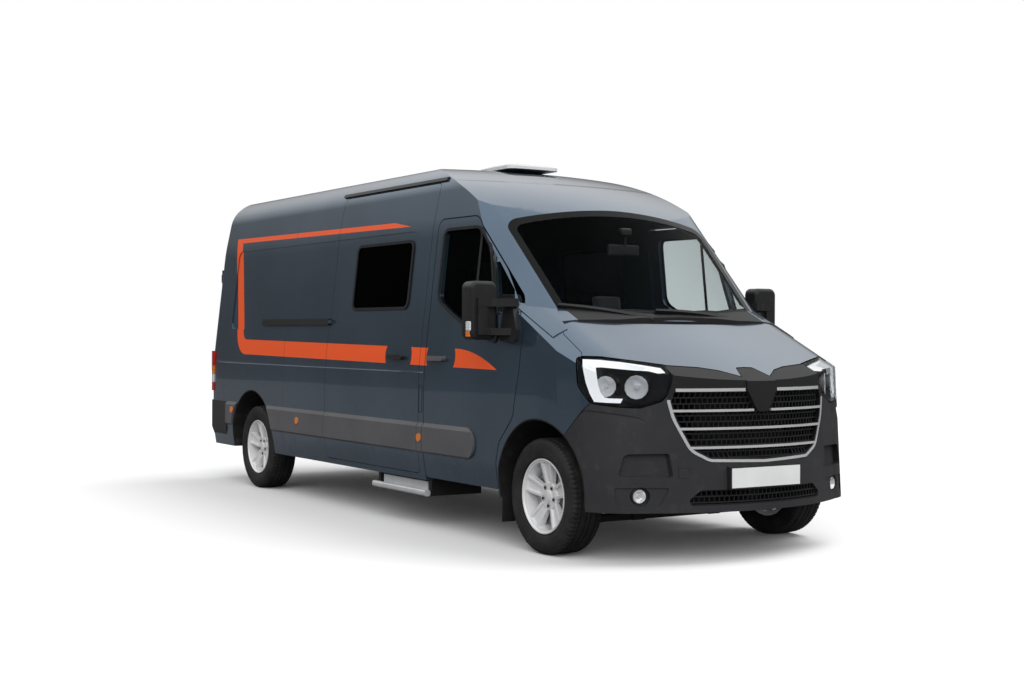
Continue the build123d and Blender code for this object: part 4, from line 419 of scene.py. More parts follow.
chrome = lacquer("chrome", (0.82, 0.83, 0.85), (0.92, 0.93, 0.94), 0.10, 0.55, 0.8)
silver = lacquer("alloy_lacquer", (0.76, 0.76, 0.77), (0.86, 0.86, 0.87), 0.32, 0.22, 0.5)
vent_white = lacquer("vent_white", (0.66, 0.67, 0.68), (0.76, 0.77, 0.78), 0.34, 0.0, 0.2)
plate_white = lacquer("plate_white", (0.74, 0.75, 0.75), (0.83, 0.84, 0.84), 0.28, 0.0, 0.3)
step_metal = brushed("step_aluminium", (0.62, 0.63, 0.64), (0.80, 0.81, 0.82), (1, 30, 30), metallic=0.45)
dark_steel = lacquer("dark_steel", (0.014, 0.014, 0.015), (0.030, 0.029, 0.028), 0.55, 0.3)
disc_steel = brushed("disc_steel", (0.30, 0.30, 0.31), (0.48, 0.48, 0.48), (1, 40, 1), 0.34)
tyre_rubber = rubber("tyre_rubber", 0.22)
seal_rubber = rubber("seal_rubber", 0.08)
print("finishes", len(bpy.data.materials))

# %% [markdown]
# ## Glass and lamp plastics
# Window glass is mostly what lies behind it, plus a mirror that grows towards the edge of view. A Mix Shader
# does that: a tinted see-through shader under a glossy black one, by how far it turns away. The same factor
# holds the black printed border of the windscreen. Lamp lenses do the same with clear plastic; coloured lenses
# are solid colours with moulded ribs.

# %% Glass and lamp plastics
GLASS_BLACK, GLASS_SMUDGED = (0.004, 0.005, 0.005), (0.012, 0.013, 0.013)
GLINT_FACING, GLINT_EDGE = 0.045, 0.80


def pane(name, tint, border=None):
    finish = Finish(name)
    smudge = finish.place.noise(4, 4, 0.6).ramp(0.4, 0.8)
    finish.set(Base_Color=(smudge * 0.3).tint(GLASS_BLACK, GLASS_SMUDGED), Roughness=smudge * 0.02 + 0.015,
               Specular_IOR_Level=0.12)
    # Facing is the same from both sides of the pane, so the far face doesn't turn into a mirror
    facing = finish.place.add("ShaderNodeLayerWeight", None, {"Blend": 0.5}, "Facing")
    glint = facing * facing * facing * facing * GLINT_EDGE + GLINT_FACING
    through = finish.place.add("ShaderNodeBsdfTransparent", None, {"Color": (*tint, 1)})
    factor = glint + smudge * 0.012
    if border:
        factor = factor.high(border(finish.place))
    finish.mixed(factor, through)
    return finish.material


SCREEN_FOOT = (0.095, 1.375)
SCREEN_RAKE = radians(45.5)
SCREEN_CLIMB, SCREEN_HALF, SCREEN_WIDENS = (0.012, 1.048), 0.765, 0.040
FOOT_BOW, HEAD_BOW = 0.098, 0.028
FRIT_FOOT, FRIT_HEAD, FRIT_SIDE, FRIT_CORNER = 0.085, 0.060, 0.048, 0.060


def screen_border(place):
    # The printed band round the windscreen, in the screen's own slope: across, and up from its foot
    x, y, z = place.axes()
    climb = (AXLE + SCREEN_FOOT[0] - x) * cos(SCREEN_RAKE) + (z - SCREEN_FOOT[1]) * sin(SCREEN_RAKE)
    foot = climb - y * y * FOOT_BOW - (SCREEN_CLIMB[0] + FRIT_FOOT)
    head = (SCREEN_CLIMB[1] - FRIT_HEAD) - y * y * HEAD_BOW - climb
    side = climb * SCREEN_WIDENS + (SCREEN_HALF - FRIT_SIDE) - abs(y)
    return rounded(side, foot.low(head), FRIT_CORNER).ramp(0.002, -0.002)


def lens(name, colour, deep, ribs):
    # Coloured lamp plastic with moulded ribs behind a polished face
    finish = Finish(name)
    wave = finish.place.wave("Z", ribs)
    cells = finish.place.noise(60, 2)
    finish.set(Base_Color=(wave * 0.7 + cells * 0.3).tint(deep, colour), Roughness=cells * 0.06 + 0.10,
               Coat_Weight=1.0, Coat_Roughness=0.03, Normal=wave.bump(0.25, 0.001))
    return finish.material


AMBER, AMBER_DEEP = (0.95, 0.26, 0.01), (0.62, 0.12, 0.004)
windscreen_glass = pane("windscreen_glass", (0.90, 0.93, 0.93), screen_border)
door_glass = pane("door_glass", (0.84, 0.87, 0.87))
dark_glass = pane("dark_glass", (0.035, 0.040, 0.042))
lamp_glass = pane("lamp_glass", (0.97, 0.98, 0.99))
amber = lens("amber_lens", AMBER, AMBER_DEEP, 30)
print("glass and lenses done")

# %% [markdown]
# ## Smooth skins
# A solid reaches Blender as flat triangles, and a glossy skin shows every one. Welding the corners and calling
# an edge smooth where its faces meet at a small angle brings the round form back, and normals weighted by
# area keep large panels calm. All of it is live modifiers, so the solids themselves stay as they are.

# %% Smooth skins
SMOOTH_ANGLE = radians(24)
WELD_REACH = 0.00002
soften = bpy.data.node_groups.new("smooth_by_angle", "GeometryNodeTree")
soften.interface.new_socket("Geometry", in_out="INPUT", socket_type="NodeSocketGeometry")
soften.interface.new_socket("Geometry", in_out="OUTPUT", socket_type="NodeSocketGeometry")
start, end = soften.nodes.new("NodeGroupInput"), soften.nodes.new("NodeGroupOutput")
angle = soften.nodes.new("GeometryNodeInputMeshEdgeAngle")
small = soften.nodes.new("FunctionNodeCompare")
small.operation = "LESS_THAN"
small.inputs[1].default_value = SMOOTH_ANGLE
by_edge, by_face = soften.nodes.new("GeometryNodeSetShadeSmooth"), soften.nodes.new("GeometryNodeSetShadeSmooth")
by_edge.domain, by_face.domain = "EDGE", "FACE"
for a, b in ((angle.outputs[0], small.inputs[0]), (start.outputs[0], by_face.inputs[0]),
             (by_face.outputs[0], by_edge.inputs[0]), (small.outputs[0], by_edge.inputs[2]),
             (by_edge.outputs[0], end.inputs[0])):
    soften.links.new(a, b)


def smooth_skin(thing, weld=True):
    if weld:
        thing.modifiers.new("weld", "WELD").merge_threshold = WELD_REACH
    thing.modifiers.new("smooth", "NODES").node_group = soften
    thing.modifiers.new("calm", "WEIGHTED_NORMAL").keep_sharp = True


for thing in nodes.values():
    smooth_skin(thing)
print("smoothed", len(nodes), "nodes")

# %% [markdown]
# ## Finishes on the solids
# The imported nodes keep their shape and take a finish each, as one list from finish to names. The few that the
# pieces further down replace are dressed too, since the list is then complete.

# %% Finishes on the solids
DRESS = {
    paint.material: ("roof", "body_side_left", "body_side_right", "cab_frame", "front_wings", "bonnet",
                     "sliding_door", "cab_door_left", "cab_door_right", "rear_door_left", "rear_door_right"),
    bumper_grey: ("front_bumper", "rear_bumper"),
    strip_grey: ("rub_strips", "cab_door_strip_left", "cab_door_strip_right"),
    trim_black: ("mirror_left", "mirror_right", "door_rails", "step_housing", "steering_wheel"),
    grille_black: ("grille", "lower_grille", "wipers"),
    gloss_black: ("headlamp_housings",),
    liner_black: ("wheel_housings",),
    chrome: ("grille_trim",),
    dash_grey: ("dashboard", "cab_seats"),
    windscreen_glass: ("windscreen",),
    door_glass: ("cab_door_glass_left", "cab_door_glass_right"),
    dark_glass: ("side_windows", "rear_door_glass_left", "rear_door_glass_right"),
    lamp_glass: ("headlamps", "fog_lamps"),
    amber: ("side_markers",),
    vent_white: ("roof_vents",),
    plate_white: ("front_plate",),
    step_metal: ("step_tread",),
    silver: ("rim_front_left", "rim_front_right", "rim_rear_left", "rim_rear_right"),
    tyre_rubber: ("tyre_front_left", "tyre_front_right", "tyre_rear_left", "tyre_rear_right"),
    seal_rubber: ("mudflaps",),
    dark_steel: ("floor_pan", "engine_block", "front_subframe", "knuckle_left", "knuckle_right", "rear_axle"),
}


def dress(name, finish):
    nodes[name].data.materials.clear()
    nodes[name].data.materials.append(finish)


for finish, names in DRESS.items():
    for name in names:
        dress(name, finish)
dressed = {name for names in DRESS.values() for name in names}
print("dressed", len(dressed), "left bare", sorted(set(nodes) - dressed))

# %% [markdown]
# ## Making a piece
# Every new piece is drawn as a bmesh and then goes through the same door: its normals are turned outwards, it
# gets its finishes, a body to ride on, and the imported nodes it stands for are hidden. While a shape is drawn, faces
# carry the number of their finish counted from one, and zero means not yet finished.

# %% Making a piece
HANDS = ((1, "left"), (-1, "right"))
TOUCHING = 1e-5


def wear(shape, number):
    # The faces drawn since the last call take this finish
    for face in shape.faces:
        if not face.material_index:
            face.material_index = number


def piece(name, shape, finishes, body, stands_for=(), smooth=True):
    wear(shape, 1)
    for face in shape.faces:
        face.material_index -= 1
    bmesh.ops.recalc_face_normals(shape, faces=shape.faces)
    mesh = as_mesh(shape, name)
    for finish in finishes:
        mesh.materials.append(finish)
    thing = placed(name, mesh)
    if smooth:
        smooth_skin(thing, weld=False)
    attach(thing, body)
    if stands_for:
        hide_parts(*stands_for)
    print(name, len(mesh.polygons), "faces")
    return thing


def spun(shape, outline, steps, closed=True):
    # A section of (across, radius) points turned all the way round the Y axis
    verts = [shape.verts.new((0, across, radius)) for across, radius in outline]
    pairs = list(zip(verts, verts[1:])) + ([(verts[-1], verts[0])] if closed else [])
    edges = [shape.edges.new(pair) for pair in pairs]
    bmesh.ops.spin(shape, geom=verts + edges, cent=(0, 0, 0), axis=(0, 1, 0), angle=2 * pi, steps=steps,
                   use_merge=True)


def round_edges(shape, verts, offset, segments):
    edges = list({e for v in verts for e in v.link_edges})
    bmesh.ops.bevel(shape, geom=edges, offset=offset, affect="EDGES", segments=segments, profile=0.5, material=-1,
                    clamp_overlap=True)


def block(shape, size, place, edge, segments):
    # A box with rounded edges
    made = bmesh.ops.create_cube(shape, size=1, matrix=Matrix.LocRotScale(place, None, size))["verts"]
    round_edges(shape, made, edge, segments)


def stack(shape, table, middle):
    # Rounded boxes by rows of size, place from a middle, edge, its steps and finish
    for size, place, edge, segments, number in table:
        block(shape, size, middle + Vector(place), edge, segments)
        wear(shape, number)


def thicken(shape, depth):
    bmesh.ops.recalc_face_normals(shape, faces=shape.faces)
    bmesh.ops.solidify(shape, geom=shape.faces, thickness=depth)


def push(shape, grown, way):
    # Move the points that an extrusion made
    bmesh.ops.translate(shape, verts=[g for g in grown["geom"] if isinstance(g, bmesh.types.BMVert)], vec=way)


def take_in(shape, loose):
    # A detail drawn by itself joins the shape
    mesh = as_mesh(loose, "loose")
    shape.from_mesh(mesh)
    bpy.data.meshes.remove(mesh)


print("piece helpers ready")

# %% [markdown]
# ## Tyres
# A tyre is a section turned about the axle: bead, bulging wall with fine moulded rings, shoulder and tread.
# Four grooves run round the tread, so they belong to the section; the cuts across the shoulders come after the
# spin, by letting every fourth row of the shoulder sink. Seventy-two blocks go round, as on a van tyre.

# %% Tyres
TYRE_STEPS, BLOCK_ROWS = 288, 4
WHEEL_HEIGHT = 0.345
HALF_TYRE = [
    (0.0870, 0.2035), (0.0875, 0.2260), (0.0960, 0.2335), (0.1000, 0.2345), (0.1030, 0.2400), (0.1075, 0.2560),
    (0.1098, 0.2700), (0.1110, 0.2712), (0.1112, 0.2735), (0.1106, 0.2750), (0.1122, 0.2880), (0.1116, 0.3000),
    (0.1100, 0.3080), (0.1110, 0.3092), (0.1104, 0.3112), (0.1090, 0.3120), (0.1065, 0.3220), (0.1020, 0.3310),
    (0.0960, 0.3378), (0.0880, 0.3415), (0.0660, 0.3436), (0.0600, 0.3440), (0.0588, 0.3360), (0.0532, 0.3360),
    (0.0520, 0.3445), (0.0350, 0.3448), (0.0180, 0.3450), (0.0168, 0.3370), (0.0112, 0.3370), (0.0100, 0.3450),
]
WHEELS = {
    "front_left": (AXLE, 0.875), "front_right": (AXLE, -0.875),
    "rear_left": (AXLE - WHEELBASE, 0.865), "rear_right": (AXLE - WHEELBASE, -0.865),
}
SHOULDER = (0.0650, 0.1030)
CUT_DEPTH, CUT_FROM = 0.0060, 0.325
for corner, (x, y) in WHEELS.items():
    shape = bmesh.new()
    spun(shape, HALF_TYRE + [(-a, r) for a, r in reversed(HALF_TYRE)], TYRE_STEPS)
    for vert in shape.verts:
        radius = (vert.co.x ** 2 + vert.co.z ** 2) ** 0.5
        if SHOULDER[0] < abs(vert.co.y) < SHOULDER[1] and radius > CUT_FROM:
            row = round(Vector((vert.co.x, vert.co.z)).angle_signed(Vector((0, 1))) / (2 * pi) * TYRE_STEPS)
            lag = BLOCK_ROWS // 2 if vert.co.y < 0 else 0
            if (row + lag) % BLOCK_ROWS == 0:
                vert.co *= Vector((1 - CUT_DEPTH / radius, 1, 1 - CUT_DEPTH / radius))
    bmesh.ops.translate(shape, verts=shape.verts, vec=(x, y, WHEEL_HEIGHT))
    piece("tyre_tread_" + corner, shape, [tyre_rubber], "wheel_" + corner, ["tyre_" + corner])

# %% [markdown]
# ## Alloy wheels
# The wheel is a rolled barrel with a rounded lip, a hub with five nuts in wells, and five wide spokes whose two
# raised ribs frame a sunken web. The barrel, hub and brake disc are spun; a rib is a box whose ends are moved
# to taper it, rounded by a bevel and turned to its five places. The left wheels face +Y and the right ones are
# the same shape turned half round, which keeps the faces pointing outwards.

# %% Alloy wheels
BARREL = [
    (0.0870, 0.2030), (0.0885, 0.2190), (0.0930, 0.2232), (0.0975, 0.2226), (0.0988, 0.2190), (0.0975, 0.2150),
    (0.0900, 0.2100), (0.0800, 0.2020), (0.0500, 0.1955), (0.0000, 0.1900), (-0.0600, 0.1900), (-0.0870, 0.1960),
    (-0.0960, 0.2190), (-0.0930, 0.2232), (-0.0880, 0.2200), (-0.0870, 0.2030),
]
HUB = [(0.0305, 0.0), (0.0305, 0.0860), (0.0440, 0.0860), (0.0520, 0.0830), (0.0545, 0.0780), (0.0550, 0.0400),
       (0.0535, 0.0385), (0.0535, 0.0370), (0.0590, 0.0350), (0.0625, 0.0280), (0.0645, 0.0150), (0.0650, 0.0)]
DISC = [(0.0020, 0.0880), (0.0020, 0.1640), (0.0035, 0.1660), (0.0185, 0.1660), (0.0200, 0.1640), (0.0200, 0.0880),
        (0.0300, 0.0860), (0.0300, 0.0700), (0.0020, 0.0700)]
WELL = [(0.0500, 0.0150), (0.0555, 0.0150), (0.0560, 0.0138), (0.0510, 0.0120), (0.0510, 0.0), (0.0500, 0.0)]
SPOKES = 5
BARREL_STEPS, HUB_STEPS, WELL_STEPS = 120, 80, 20
BOLT_RADIUS = 0.058
NUT_RADII, NUT_DEEP, NUT_ACROSS = (0.0095, 0.0085), 0.010, 0.0550
RIB_ENDS = ((0.066, 0.0265), (0.2120, 0.0440))
RIB_HALF, RIB_FACE, RIB_BACK, RIB_EDGE = (0.0105, 0.0095), (0.0530, 0.0870), (0.0250, 0.0300), 0.0042
PANEL_ENDS = ((0.070, 0.0), (0.2040, 0.0))
PANEL_HALF, PANEL_FACE, PANEL_BACK, PANEL_EDGE = (0.0260, 0.0420), (0.0440, 0.0700), (0.0260, 0.0310), 0.0020


def taper(shape, ends, mirror, half, faces_at, backs_at, edge):
    # One bar from near to far out along Z: (radius, offset), half widths, face and back heights across Y
    made = bmesh.ops.create_cube(shape, size=1)["verts"]
    for vert in made:
        end = 1 if vert.co.z > 0 else 0
        radius, offset = ends[end]
        side = 1 if vert.co.x > 0 else -1
        vert.co = (mirror * offset + side * half[end], (faces_at if vert.co.y > 0 else backs_at)[end], radius)
    round_edges(shape, made, edge, 2)


def alloy_shape():
    shape = bmesh.new()
    spun(shape, BARREL, BARREL_STEPS)
    spun(shape, HUB, HUB_STEPS, closed=False)
    wear(shape, 1)
    spun(shape, DISC, HUB_STEPS)
    wear(shape, 2)
    for spoke in range(SPOKES):
        old = set(shape.verts)
        for side in (-1, 1):
            taper(shape, RIB_ENDS, side, RIB_HALF, RIB_FACE, RIB_BACK, RIB_EDGE)
        taper(shape, PANEL_ENDS, 1, PANEL_HALF, PANEL_FACE, PANEL_BACK, PANEL_EDGE)
        wear(shape, 1)
        well = bmesh.new()
        spun(well, WELL, WELL_STEPS, closed=False)
        nut_place = Matrix.Translation((0, NUT_ACROSS, 0)) @ Matrix.Rotation(-pi / 2, 4, "X")
        bmesh.ops.create_cone(well, cap_ends=True, segments=6, radius1=NUT_RADII[0], radius2=NUT_RADII[1],
                              depth=NUT_DEEP, matrix=nut_place)
        bmesh.ops.remove_doubles(well, verts=well.verts, dist=TOUCHING)
        wear(well, 3)
        bmesh.ops.translate(well, verts=well.verts, vec=(0, 0, BOLT_RADIUS))
        bmesh.ops.rotate(well, verts=well.verts, cent=(0, 0, 0), matrix=Matrix.Rotation(pi / SPOKES, 3, "Y"))
        take_in(shape, well)
        bmesh.ops.rotate(shape, verts=[v for v in shape.verts if v not in old], cent=(0, 0, 0),
                         matrix=Matrix.Rotation(2 * pi * spoke / SPOKES, 3, "Y"))
    bmesh.ops.remove_doubles(shape, verts=shape.verts, dist=TOUCHING)
    return shape


for corner, (x, y) in WHEELS.items():
    shape = alloy_shape()
    if y < 0:
        bmesh.ops.rotate(shape, verts=shape.verts, cent=(0, 0, 0), matrix=Matrix.Rotation(pi, 3, "Z"))
    bmesh.ops.translate(shape, verts=shape.verts, vec=(x, y, WHEEL_HEIGHT))
    piece("alloy_" + corner, shape, [silver, disc_steel, dark_steel], "wheel_" + corner, ["rim_" + corner])

# %% [markdown]
# ## Cowl between bonnet and windscreen
# On the real van the wings run up into the pillars, and a black plastic scuttle fills the middle under the
# wipers. Both lie on the bonnet's own crowned slope, so the panel is a grid whose rows follow that slope from
# the foot of the screen to the bonnet's rear edge. It could be cut from a big sheet, but placing the rows
# between the two edges gives clean borders on both sides.

# %% Cowl
SLOPE = radians(25.06)
BONNET_FRONT = (0.820, 1.050)
CROWN = [(0.0, -0.012), (0.30, -0.006), (0.55, 0.010), (0.75, 0.034), (0.85, 0.056), (0.92, 0.084), (0.96, 0.104),
         (1.00, 0.130)]
SCREEN_CURVE = [(0.0, 0.0), (0.40, 0.0295), (0.60, 0.0665), (0.80, 0.118), (0.87, 0.158), (0.925, 0.205),
                (1.00, 0.318), (1.06, 0.520)]
BEHIND_SCREEN = 0.016
COWL_SINK, COWL_THICK, COWL_LEAST = 0.0006, 0.003, 0.004
COWL_LIP = 0.060
COWL_COLUMNS, COWL_ROWS = 96, 10
COWL_EDGE = 0.955
WING_START = 0.075
BONNET_REAR, BONNET_SWEEP, BONNET_HALF, BONNET_GAP = 0.119, 0.133, 0.848, 0.002
SCUTTLE_HALF = 0.742
SEARCH_END, SEARCH_STEPS = 1.6, 30


def along_line(points, value):
    # Height of a drawn line at a place
    for (x0, y0), (x1, y1) in zip(points, points[1:]):
        if value <= x1:
            break
    return y0 + (y1 - y0) * (value - x0) / (x1 - x0)


def on_slope(y, run):
    drop = along_line(CROWN, abs(y)) + COWL_SINK
    return Vector((AXLE + BONNET_FRONT[0] - run * cos(SLOPE) - drop * sin(SLOPE), y,
                   BONNET_FRONT[1] + run * sin(SLOPE) - drop * cos(SLOPE)))


def first_run(reached):
    # How far up the slope a test comes true
    low, high = 0.0, SEARCH_END
    for step in range(SEARCH_STEPS):
        middle = (low + high) / 2
        low, high = (low, middle) if reached(middle) else (middle, high)
    return low


def cowl_front(y):
    # Bonnet's rear edge less the gap, or the start of the wing outside it
    if abs(y) < BONNET_HALF - BONNET_GAP:
        return min(WING_START, BONNET_REAR - BONNET_SWEEP * (y / BONNET_HALF) ** 2)
    return WING_START


def behind_screen(place):
    depth = (AXLE + SCREEN_FOOT[0] - place.x) * sin(SCREEN_RAKE) + (SCREEN_FOOT[1] - place.z) * cos(SCREEN_RAKE)
    return depth > along_line(SCREEN_CURVE, abs(place.y)) + BEHIND_SCREEN


shape = bmesh.new()
bmesh.ops.create_grid(shape, x_segments=COWL_COLUMNS, y_segments=COWL_ROWS, size=1)
shape.verts.ensure_lookup_table()
shape.verts.index_update()
for vert in shape.verts:
    y = vert.co.x * COWL_EDGE
    share = (vert.co.y + 1) / 2
    front = first_run(lambda run: on_slope(y, run).x - AXLE <= cowl_front(y))
    back = first_run(lambda run: behind_screen(on_slope(y, run)))
    vert.co = on_slope(y, front + max(back - front, COWL_LEAST) * share)
for face in shape.faces:
    face.material_index = 2 if abs(face.calc_center_median().y) < SCUTTLE_HALF else 1
rim = [e for e in shape.edges if e.is_boundary and all(v.index < COWL_COLUMNS + 1 for v in e.verts)]
push(shape, bmesh.ops.extrude_edge_only(shape, edges=rim), (0, 0, -COWL_LIP))
bmesh.ops.solidify(shape, geom=shape.faces, thickness=-COWL_THICK)
piece("cowl", shape, [paint.material, grille_black], "body")

# %% [markdown]
# ## Finding the skin
# Lamps and the grille lie on a nose that curves in plan and leans back. Rather than repeat that curve, rays
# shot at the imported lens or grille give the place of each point, so every new piece follows the skin.


# %% Finding the skin
def skin_of(name):
    mesh = nodes[name].data
    return BVHTree.FromPolygons([v.co.copy() for v in mesh.vertices], [tuple(p.vertices) for p in mesh.polygons])


def from_ahead(skin, y, z):
    # Where a ray from ahead of the nose meets a skin
    return skin.ray_cast(Vector((AXLE + FAR_OUT, y, z)), -FORWARD)[0]


FORWARD, UP = Vector((1, 0, 0)), Vector((0, 0, 1))
lamp_skin, grille_skin, fog_skin, lower_skin = (
    skin_of(name) for name in ("headlamps", "grille", "fog_lamps", "lower_grille"))
LAMP_FACING = radians(42)
LAMP_MIDDLE = Vector((-0.22, 1.03))
LAMP_PULLS = (0.0, 0.03, 0.06, 0.10, 0.15)
FAR_OUT = 2.0


def lamp_axes(side):
    # Along the lamp towards the nose, and out through its face
    return (Vector((sin(LAMP_FACING), -side * cos(LAMP_FACING), 0)),
            Vector((cos(LAMP_FACING), side * sin(LAMP_FACING), 0)))


def on_plane(side, place):
    # A point of the lamp's drawing on the upright plane through the axle
    return FORWARD * AXLE + lamp_axes(side)[0] * place[0] + UP * place[1]


def on_lamp(side, place, depth):
    # The same point on the lens and then this far behind it; beyond the rim, the nearest one that finds the lens
    out = lamp_axes(side)[1]
    base, middle = on_plane(side, place), on_plane(side, LAMP_MIDDLE)
    hits = (lamp_skin.ray_cast(base.lerp(middle, pull) + out * FAR_OUT, -out)[0] for pull in LAMP_PULLS)
    hit = next(hit for hit in hits if hit)
    return base + out * ((hit - base).dot(out) - depth)


print("lens reaches", round(on_lamp(-1, LAMP_MIDDLE, 0).x - AXLE, 3), "m ahead of the axle")

# %% [markdown]
# ## Headlamps
# Behind the clear lens sit a black bucket, a white light guide bent like a C and two bright bowls with their
# bulbs. The bucket is two loops bridged: one follows the lens, one lies flat further in. The guide is a ribbon
# between an outer and an inner line, laid behind the lens and pulled back. Bowls are spun with few steps, so
# that their flats sparkle as pressed reflectors do.

# %% Headlamps
LAMP_OUTLINE = [(-0.492, 1.168), (-0.362, 1.168), (-0.280, 1.160), (-0.191, 1.147), (-0.090, 1.134), (0.002, 1.120),
                (0.030, 1.080), (0.043, 1.050), (0.036, 1.005), (0.022, 0.968), (-0.008, 0.931), (-0.060, 0.912),
                (-0.126, 0.893), (-0.200, 0.894), (-0.264, 0.899), (-0.330, 0.907), (-0.403, 0.916), (-0.440, 0.956),
                (-0.480, 1.012), (-0.488, 1.090)]
BUCKET_BEHIND, BUCKET_WALL, BUCKET_NARROWS = 0.012, 0.002, 0.05
GUIDE_LINE = [  # outer point, inner point
    ((0.010, 1.086), (-0.030, 1.084)), ((-0.020, 1.112), (-0.085, 1.097)), ((-0.130, 1.130), (-0.160, 1.101)),
    ((-0.250, 1.147), (-0.262, 1.110)), ((-0.362, 1.158), (-0.345, 1.117)), ((-0.462, 1.161), (-0.378, 1.116)),
    ((-0.452, 1.100), (-0.372, 1.070)), ((-0.436, 1.030), (-0.362, 1.015)), ((-0.412, 0.968), (-0.350, 0.976)),
    ((-0.386, 0.922), (-0.326, 0.948)), ((-0.310, 0.918), (-0.300, 0.943)), ((-0.235, 0.916), (-0.222, 0.941)),
]
GUIDE_STEPS = 6
GUIDE_DEPTH, GUIDE_THICK = 0.014, 0.012
BOWLS = [((-0.322, 1.008), 0.058), ((-0.150, 1.004), 0.066)]  # place, radius
BOWL_BEHIND, BOWL_WALL, BOWL_STEPS, BULB_STEPS = 0.030, 0.0015, 14, 20
GLOW = 0.35
BOWL_SHAPE = [(0.0, 1.00), (-0.004, 1.04), (-0.006, 1.00), (-0.020, 0.86), (-0.034, 0.62), (-0.043, 0.36),
              (-0.047, 0.16)]
BULB_SHAPE = [(-0.047, 0.0), (-0.047, 0.0130), (-0.030, 0.0130), (-0.026, 0.0100), (-0.012, 0.0095), (-0.006, 0.0060),
              (-0.004, 0.0)]
guide_white = lacquer("guide_white", (0.80, 0.81, 0.82), (0.90, 0.91, 0.92), 0.22, 0.0, 0.8)
glow = guide_white.node_tree.nodes["Principled BSDF"]
glow.inputs["Emission Color"].default_value = (1, 1, 1, 1)
glow.inputs["Emission Strength"].default_value = GLOW


def facing(out):
    # Turns a shape spun about +Y to look this way
    return out.to_track_quat("Y", "Z").to_matrix().to_4x4()


for side, hand in HANDS:
    shape = bmesh.new()
    out = lamp_axes(side)[1]
    front = [shape.verts.new(on_lamp(side, place, BUCKET_BEHIND)) for place in LAMP_OUTLINE]
    floor_at = min((vert.co - FORWARD * AXLE).dot(out) for vert in front) - BUCKET_BEHIND
    back = [shape.verts.new(on_plane(side, Vector(place).lerp(LAMP_MIDDLE, BUCKET_NARROWS)) + out * floor_at)
            for place in LAMP_OUTLINE]
    rims = [shape.edges.new((loop[i - 1], loop[i])) for loop in (front, back) for i in range(len(loop))]
    bmesh.ops.bridge_loops(shape, edges=rims)
    shape.faces.new(back)
    thicken(shape, BUCKET_WALL)
    wear(shape, 1)
    rows = []
    for (o0, i0), (o1, i1) in zip(GUIDE_LINE, GUIDE_LINE[1:]):
        for step in range(GUIDE_STEPS):
            share = step / GUIDE_STEPS
            rows.append([Vector(o0).lerp(Vector(o1), share), Vector(i0).lerp(Vector(i1), share)])
    rows.append(GUIDE_LINE[-1])
    lines = [[shape.verts.new(on_lamp(side, place, GUIDE_DEPTH)) for place in line] for line in zip(*rows)]
    ends = [shape.edges.new(pair) for line in lines for pair in zip(line, line[1:])]
    ribbon = bmesh.ops.bridge_loops(shape, edges=ends)["faces"]
    push(shape, bmesh.ops.extrude_face_region(shape, geom=ribbon), -out * GUIDE_THICK)
    wear(shape, 2)
    for place, radius in BOWLS:
        loose = bmesh.new()
        spun(loose, [(a, r * radius) for a, r in BOWL_SHAPE], BOWL_STEPS, closed=False)
        bmesh.ops.solidify(loose, geom=loose.faces, thickness=BOWL_WALL)
        spun(loose, BULB_SHAPE, BULB_STEPS, closed=False)
        bmesh.ops.remove_doubles(loose, verts=loose.verts, dist=TOUCHING)
        wear(loose, 3)
        loose.transform(Matrix.Translation(on_lamp(side, place, BOWL_BEHIND)) @ facing(out))
        take_in(shape, loose)
    names = ["headlamp_housings"] if side > 0 else []
    piece("headlamp_inside_" + hand, shape, [gloss_black, guide_white, chrome], "body", names)

# %% [markdown]
# ## Fog lamps
# A small bright lamp sits in a dark round well at each end of the bumper. Well, bowl and bulb are spun about
# one axis; the bowl has few steps, so that its flats sparkle, and the lamp looks slightly outwards.

# %% Fog lamps
FOG_PLACE = (0.748, 0.393)
FOG_TURN = radians(18)
FOG_STEPS, FOG_FLATS = 48, 18
FOG_WELL = [(-0.040, 0.0515), (0.000, 0.0515), (0.002, 0.0490), (0.000, 0.0465), (-0.010, 0.0440), (-0.010, 0.0395),
            (-0.040, 0.0395)]
FOG_BOWL = [(-0.009, 0.0390), (-0.007, 0.0375), (-0.012, 0.0350), (-0.024, 0.0260), (-0.031, 0.0130), (-0.031, 0.0)]
FOG_BULB = [(-0.031, 0.0), (-0.031, 0.0080), (-0.018, 0.0080), (-0.014, 0.0050), (-0.013, 0.0)]
for side, hand in HANDS:
    shape = bmesh.new()
    spun(shape, FOG_WELL, FOG_STEPS)
    wear(shape, 1)
    spun(shape, FOG_BOWL, FOG_FLATS, closed=False)
    spun(shape, FOG_BULB, FOG_FLATS, closed=False)
    bmesh.ops.remove_doubles(shape, verts=shape.verts, dist=TOUCHING)
    wear(shape, 2)
    hit = from_ahead(fog_skin, side * FOG_PLACE[0], FOG_PLACE[1])
    out = Vector((cos(FOG_TURN), side * sin(FOG_TURN), 0))
    shape.transform(Matrix.Translation(hit) @ facing(out))
    piece("fog_lamp_" + hand, shape, [trim_black, chrome], "body", ["fog_lamps"] if side > 0 else [])

# %% [markdown]
# ## Grille webs
# The grille is a honeycomb of small bricks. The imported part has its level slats; here short upright webs stand
# between them, half a brick on in every other row. Rays find the slats below and above, and each web is a small
# box that leans from one to the other.

# %% Grille webs
WEB_PITCH, WEB_WIDE, WEB_DEEP, WEB_SINK = 0.031, 0.0050, 0.012, 0.001
WEB_COUNT = 20  # each way from the middle
SLAT_PITCH = 0.034
UPPER_START, UPPER_ROWS, LOWER_START, LOWER_ROWS = 0.606, 11, 0.3565, 2
UPPER_HALVES, UPPER_FOOT, UPPER_WIDENS, UPPER_BAR = (0.40, 0.56), 0.60, 0.48, 0.93
LOWER_HALF, LOWER_FOOT, LOWER_NARROWS = 0.54, 0.338, 1.1


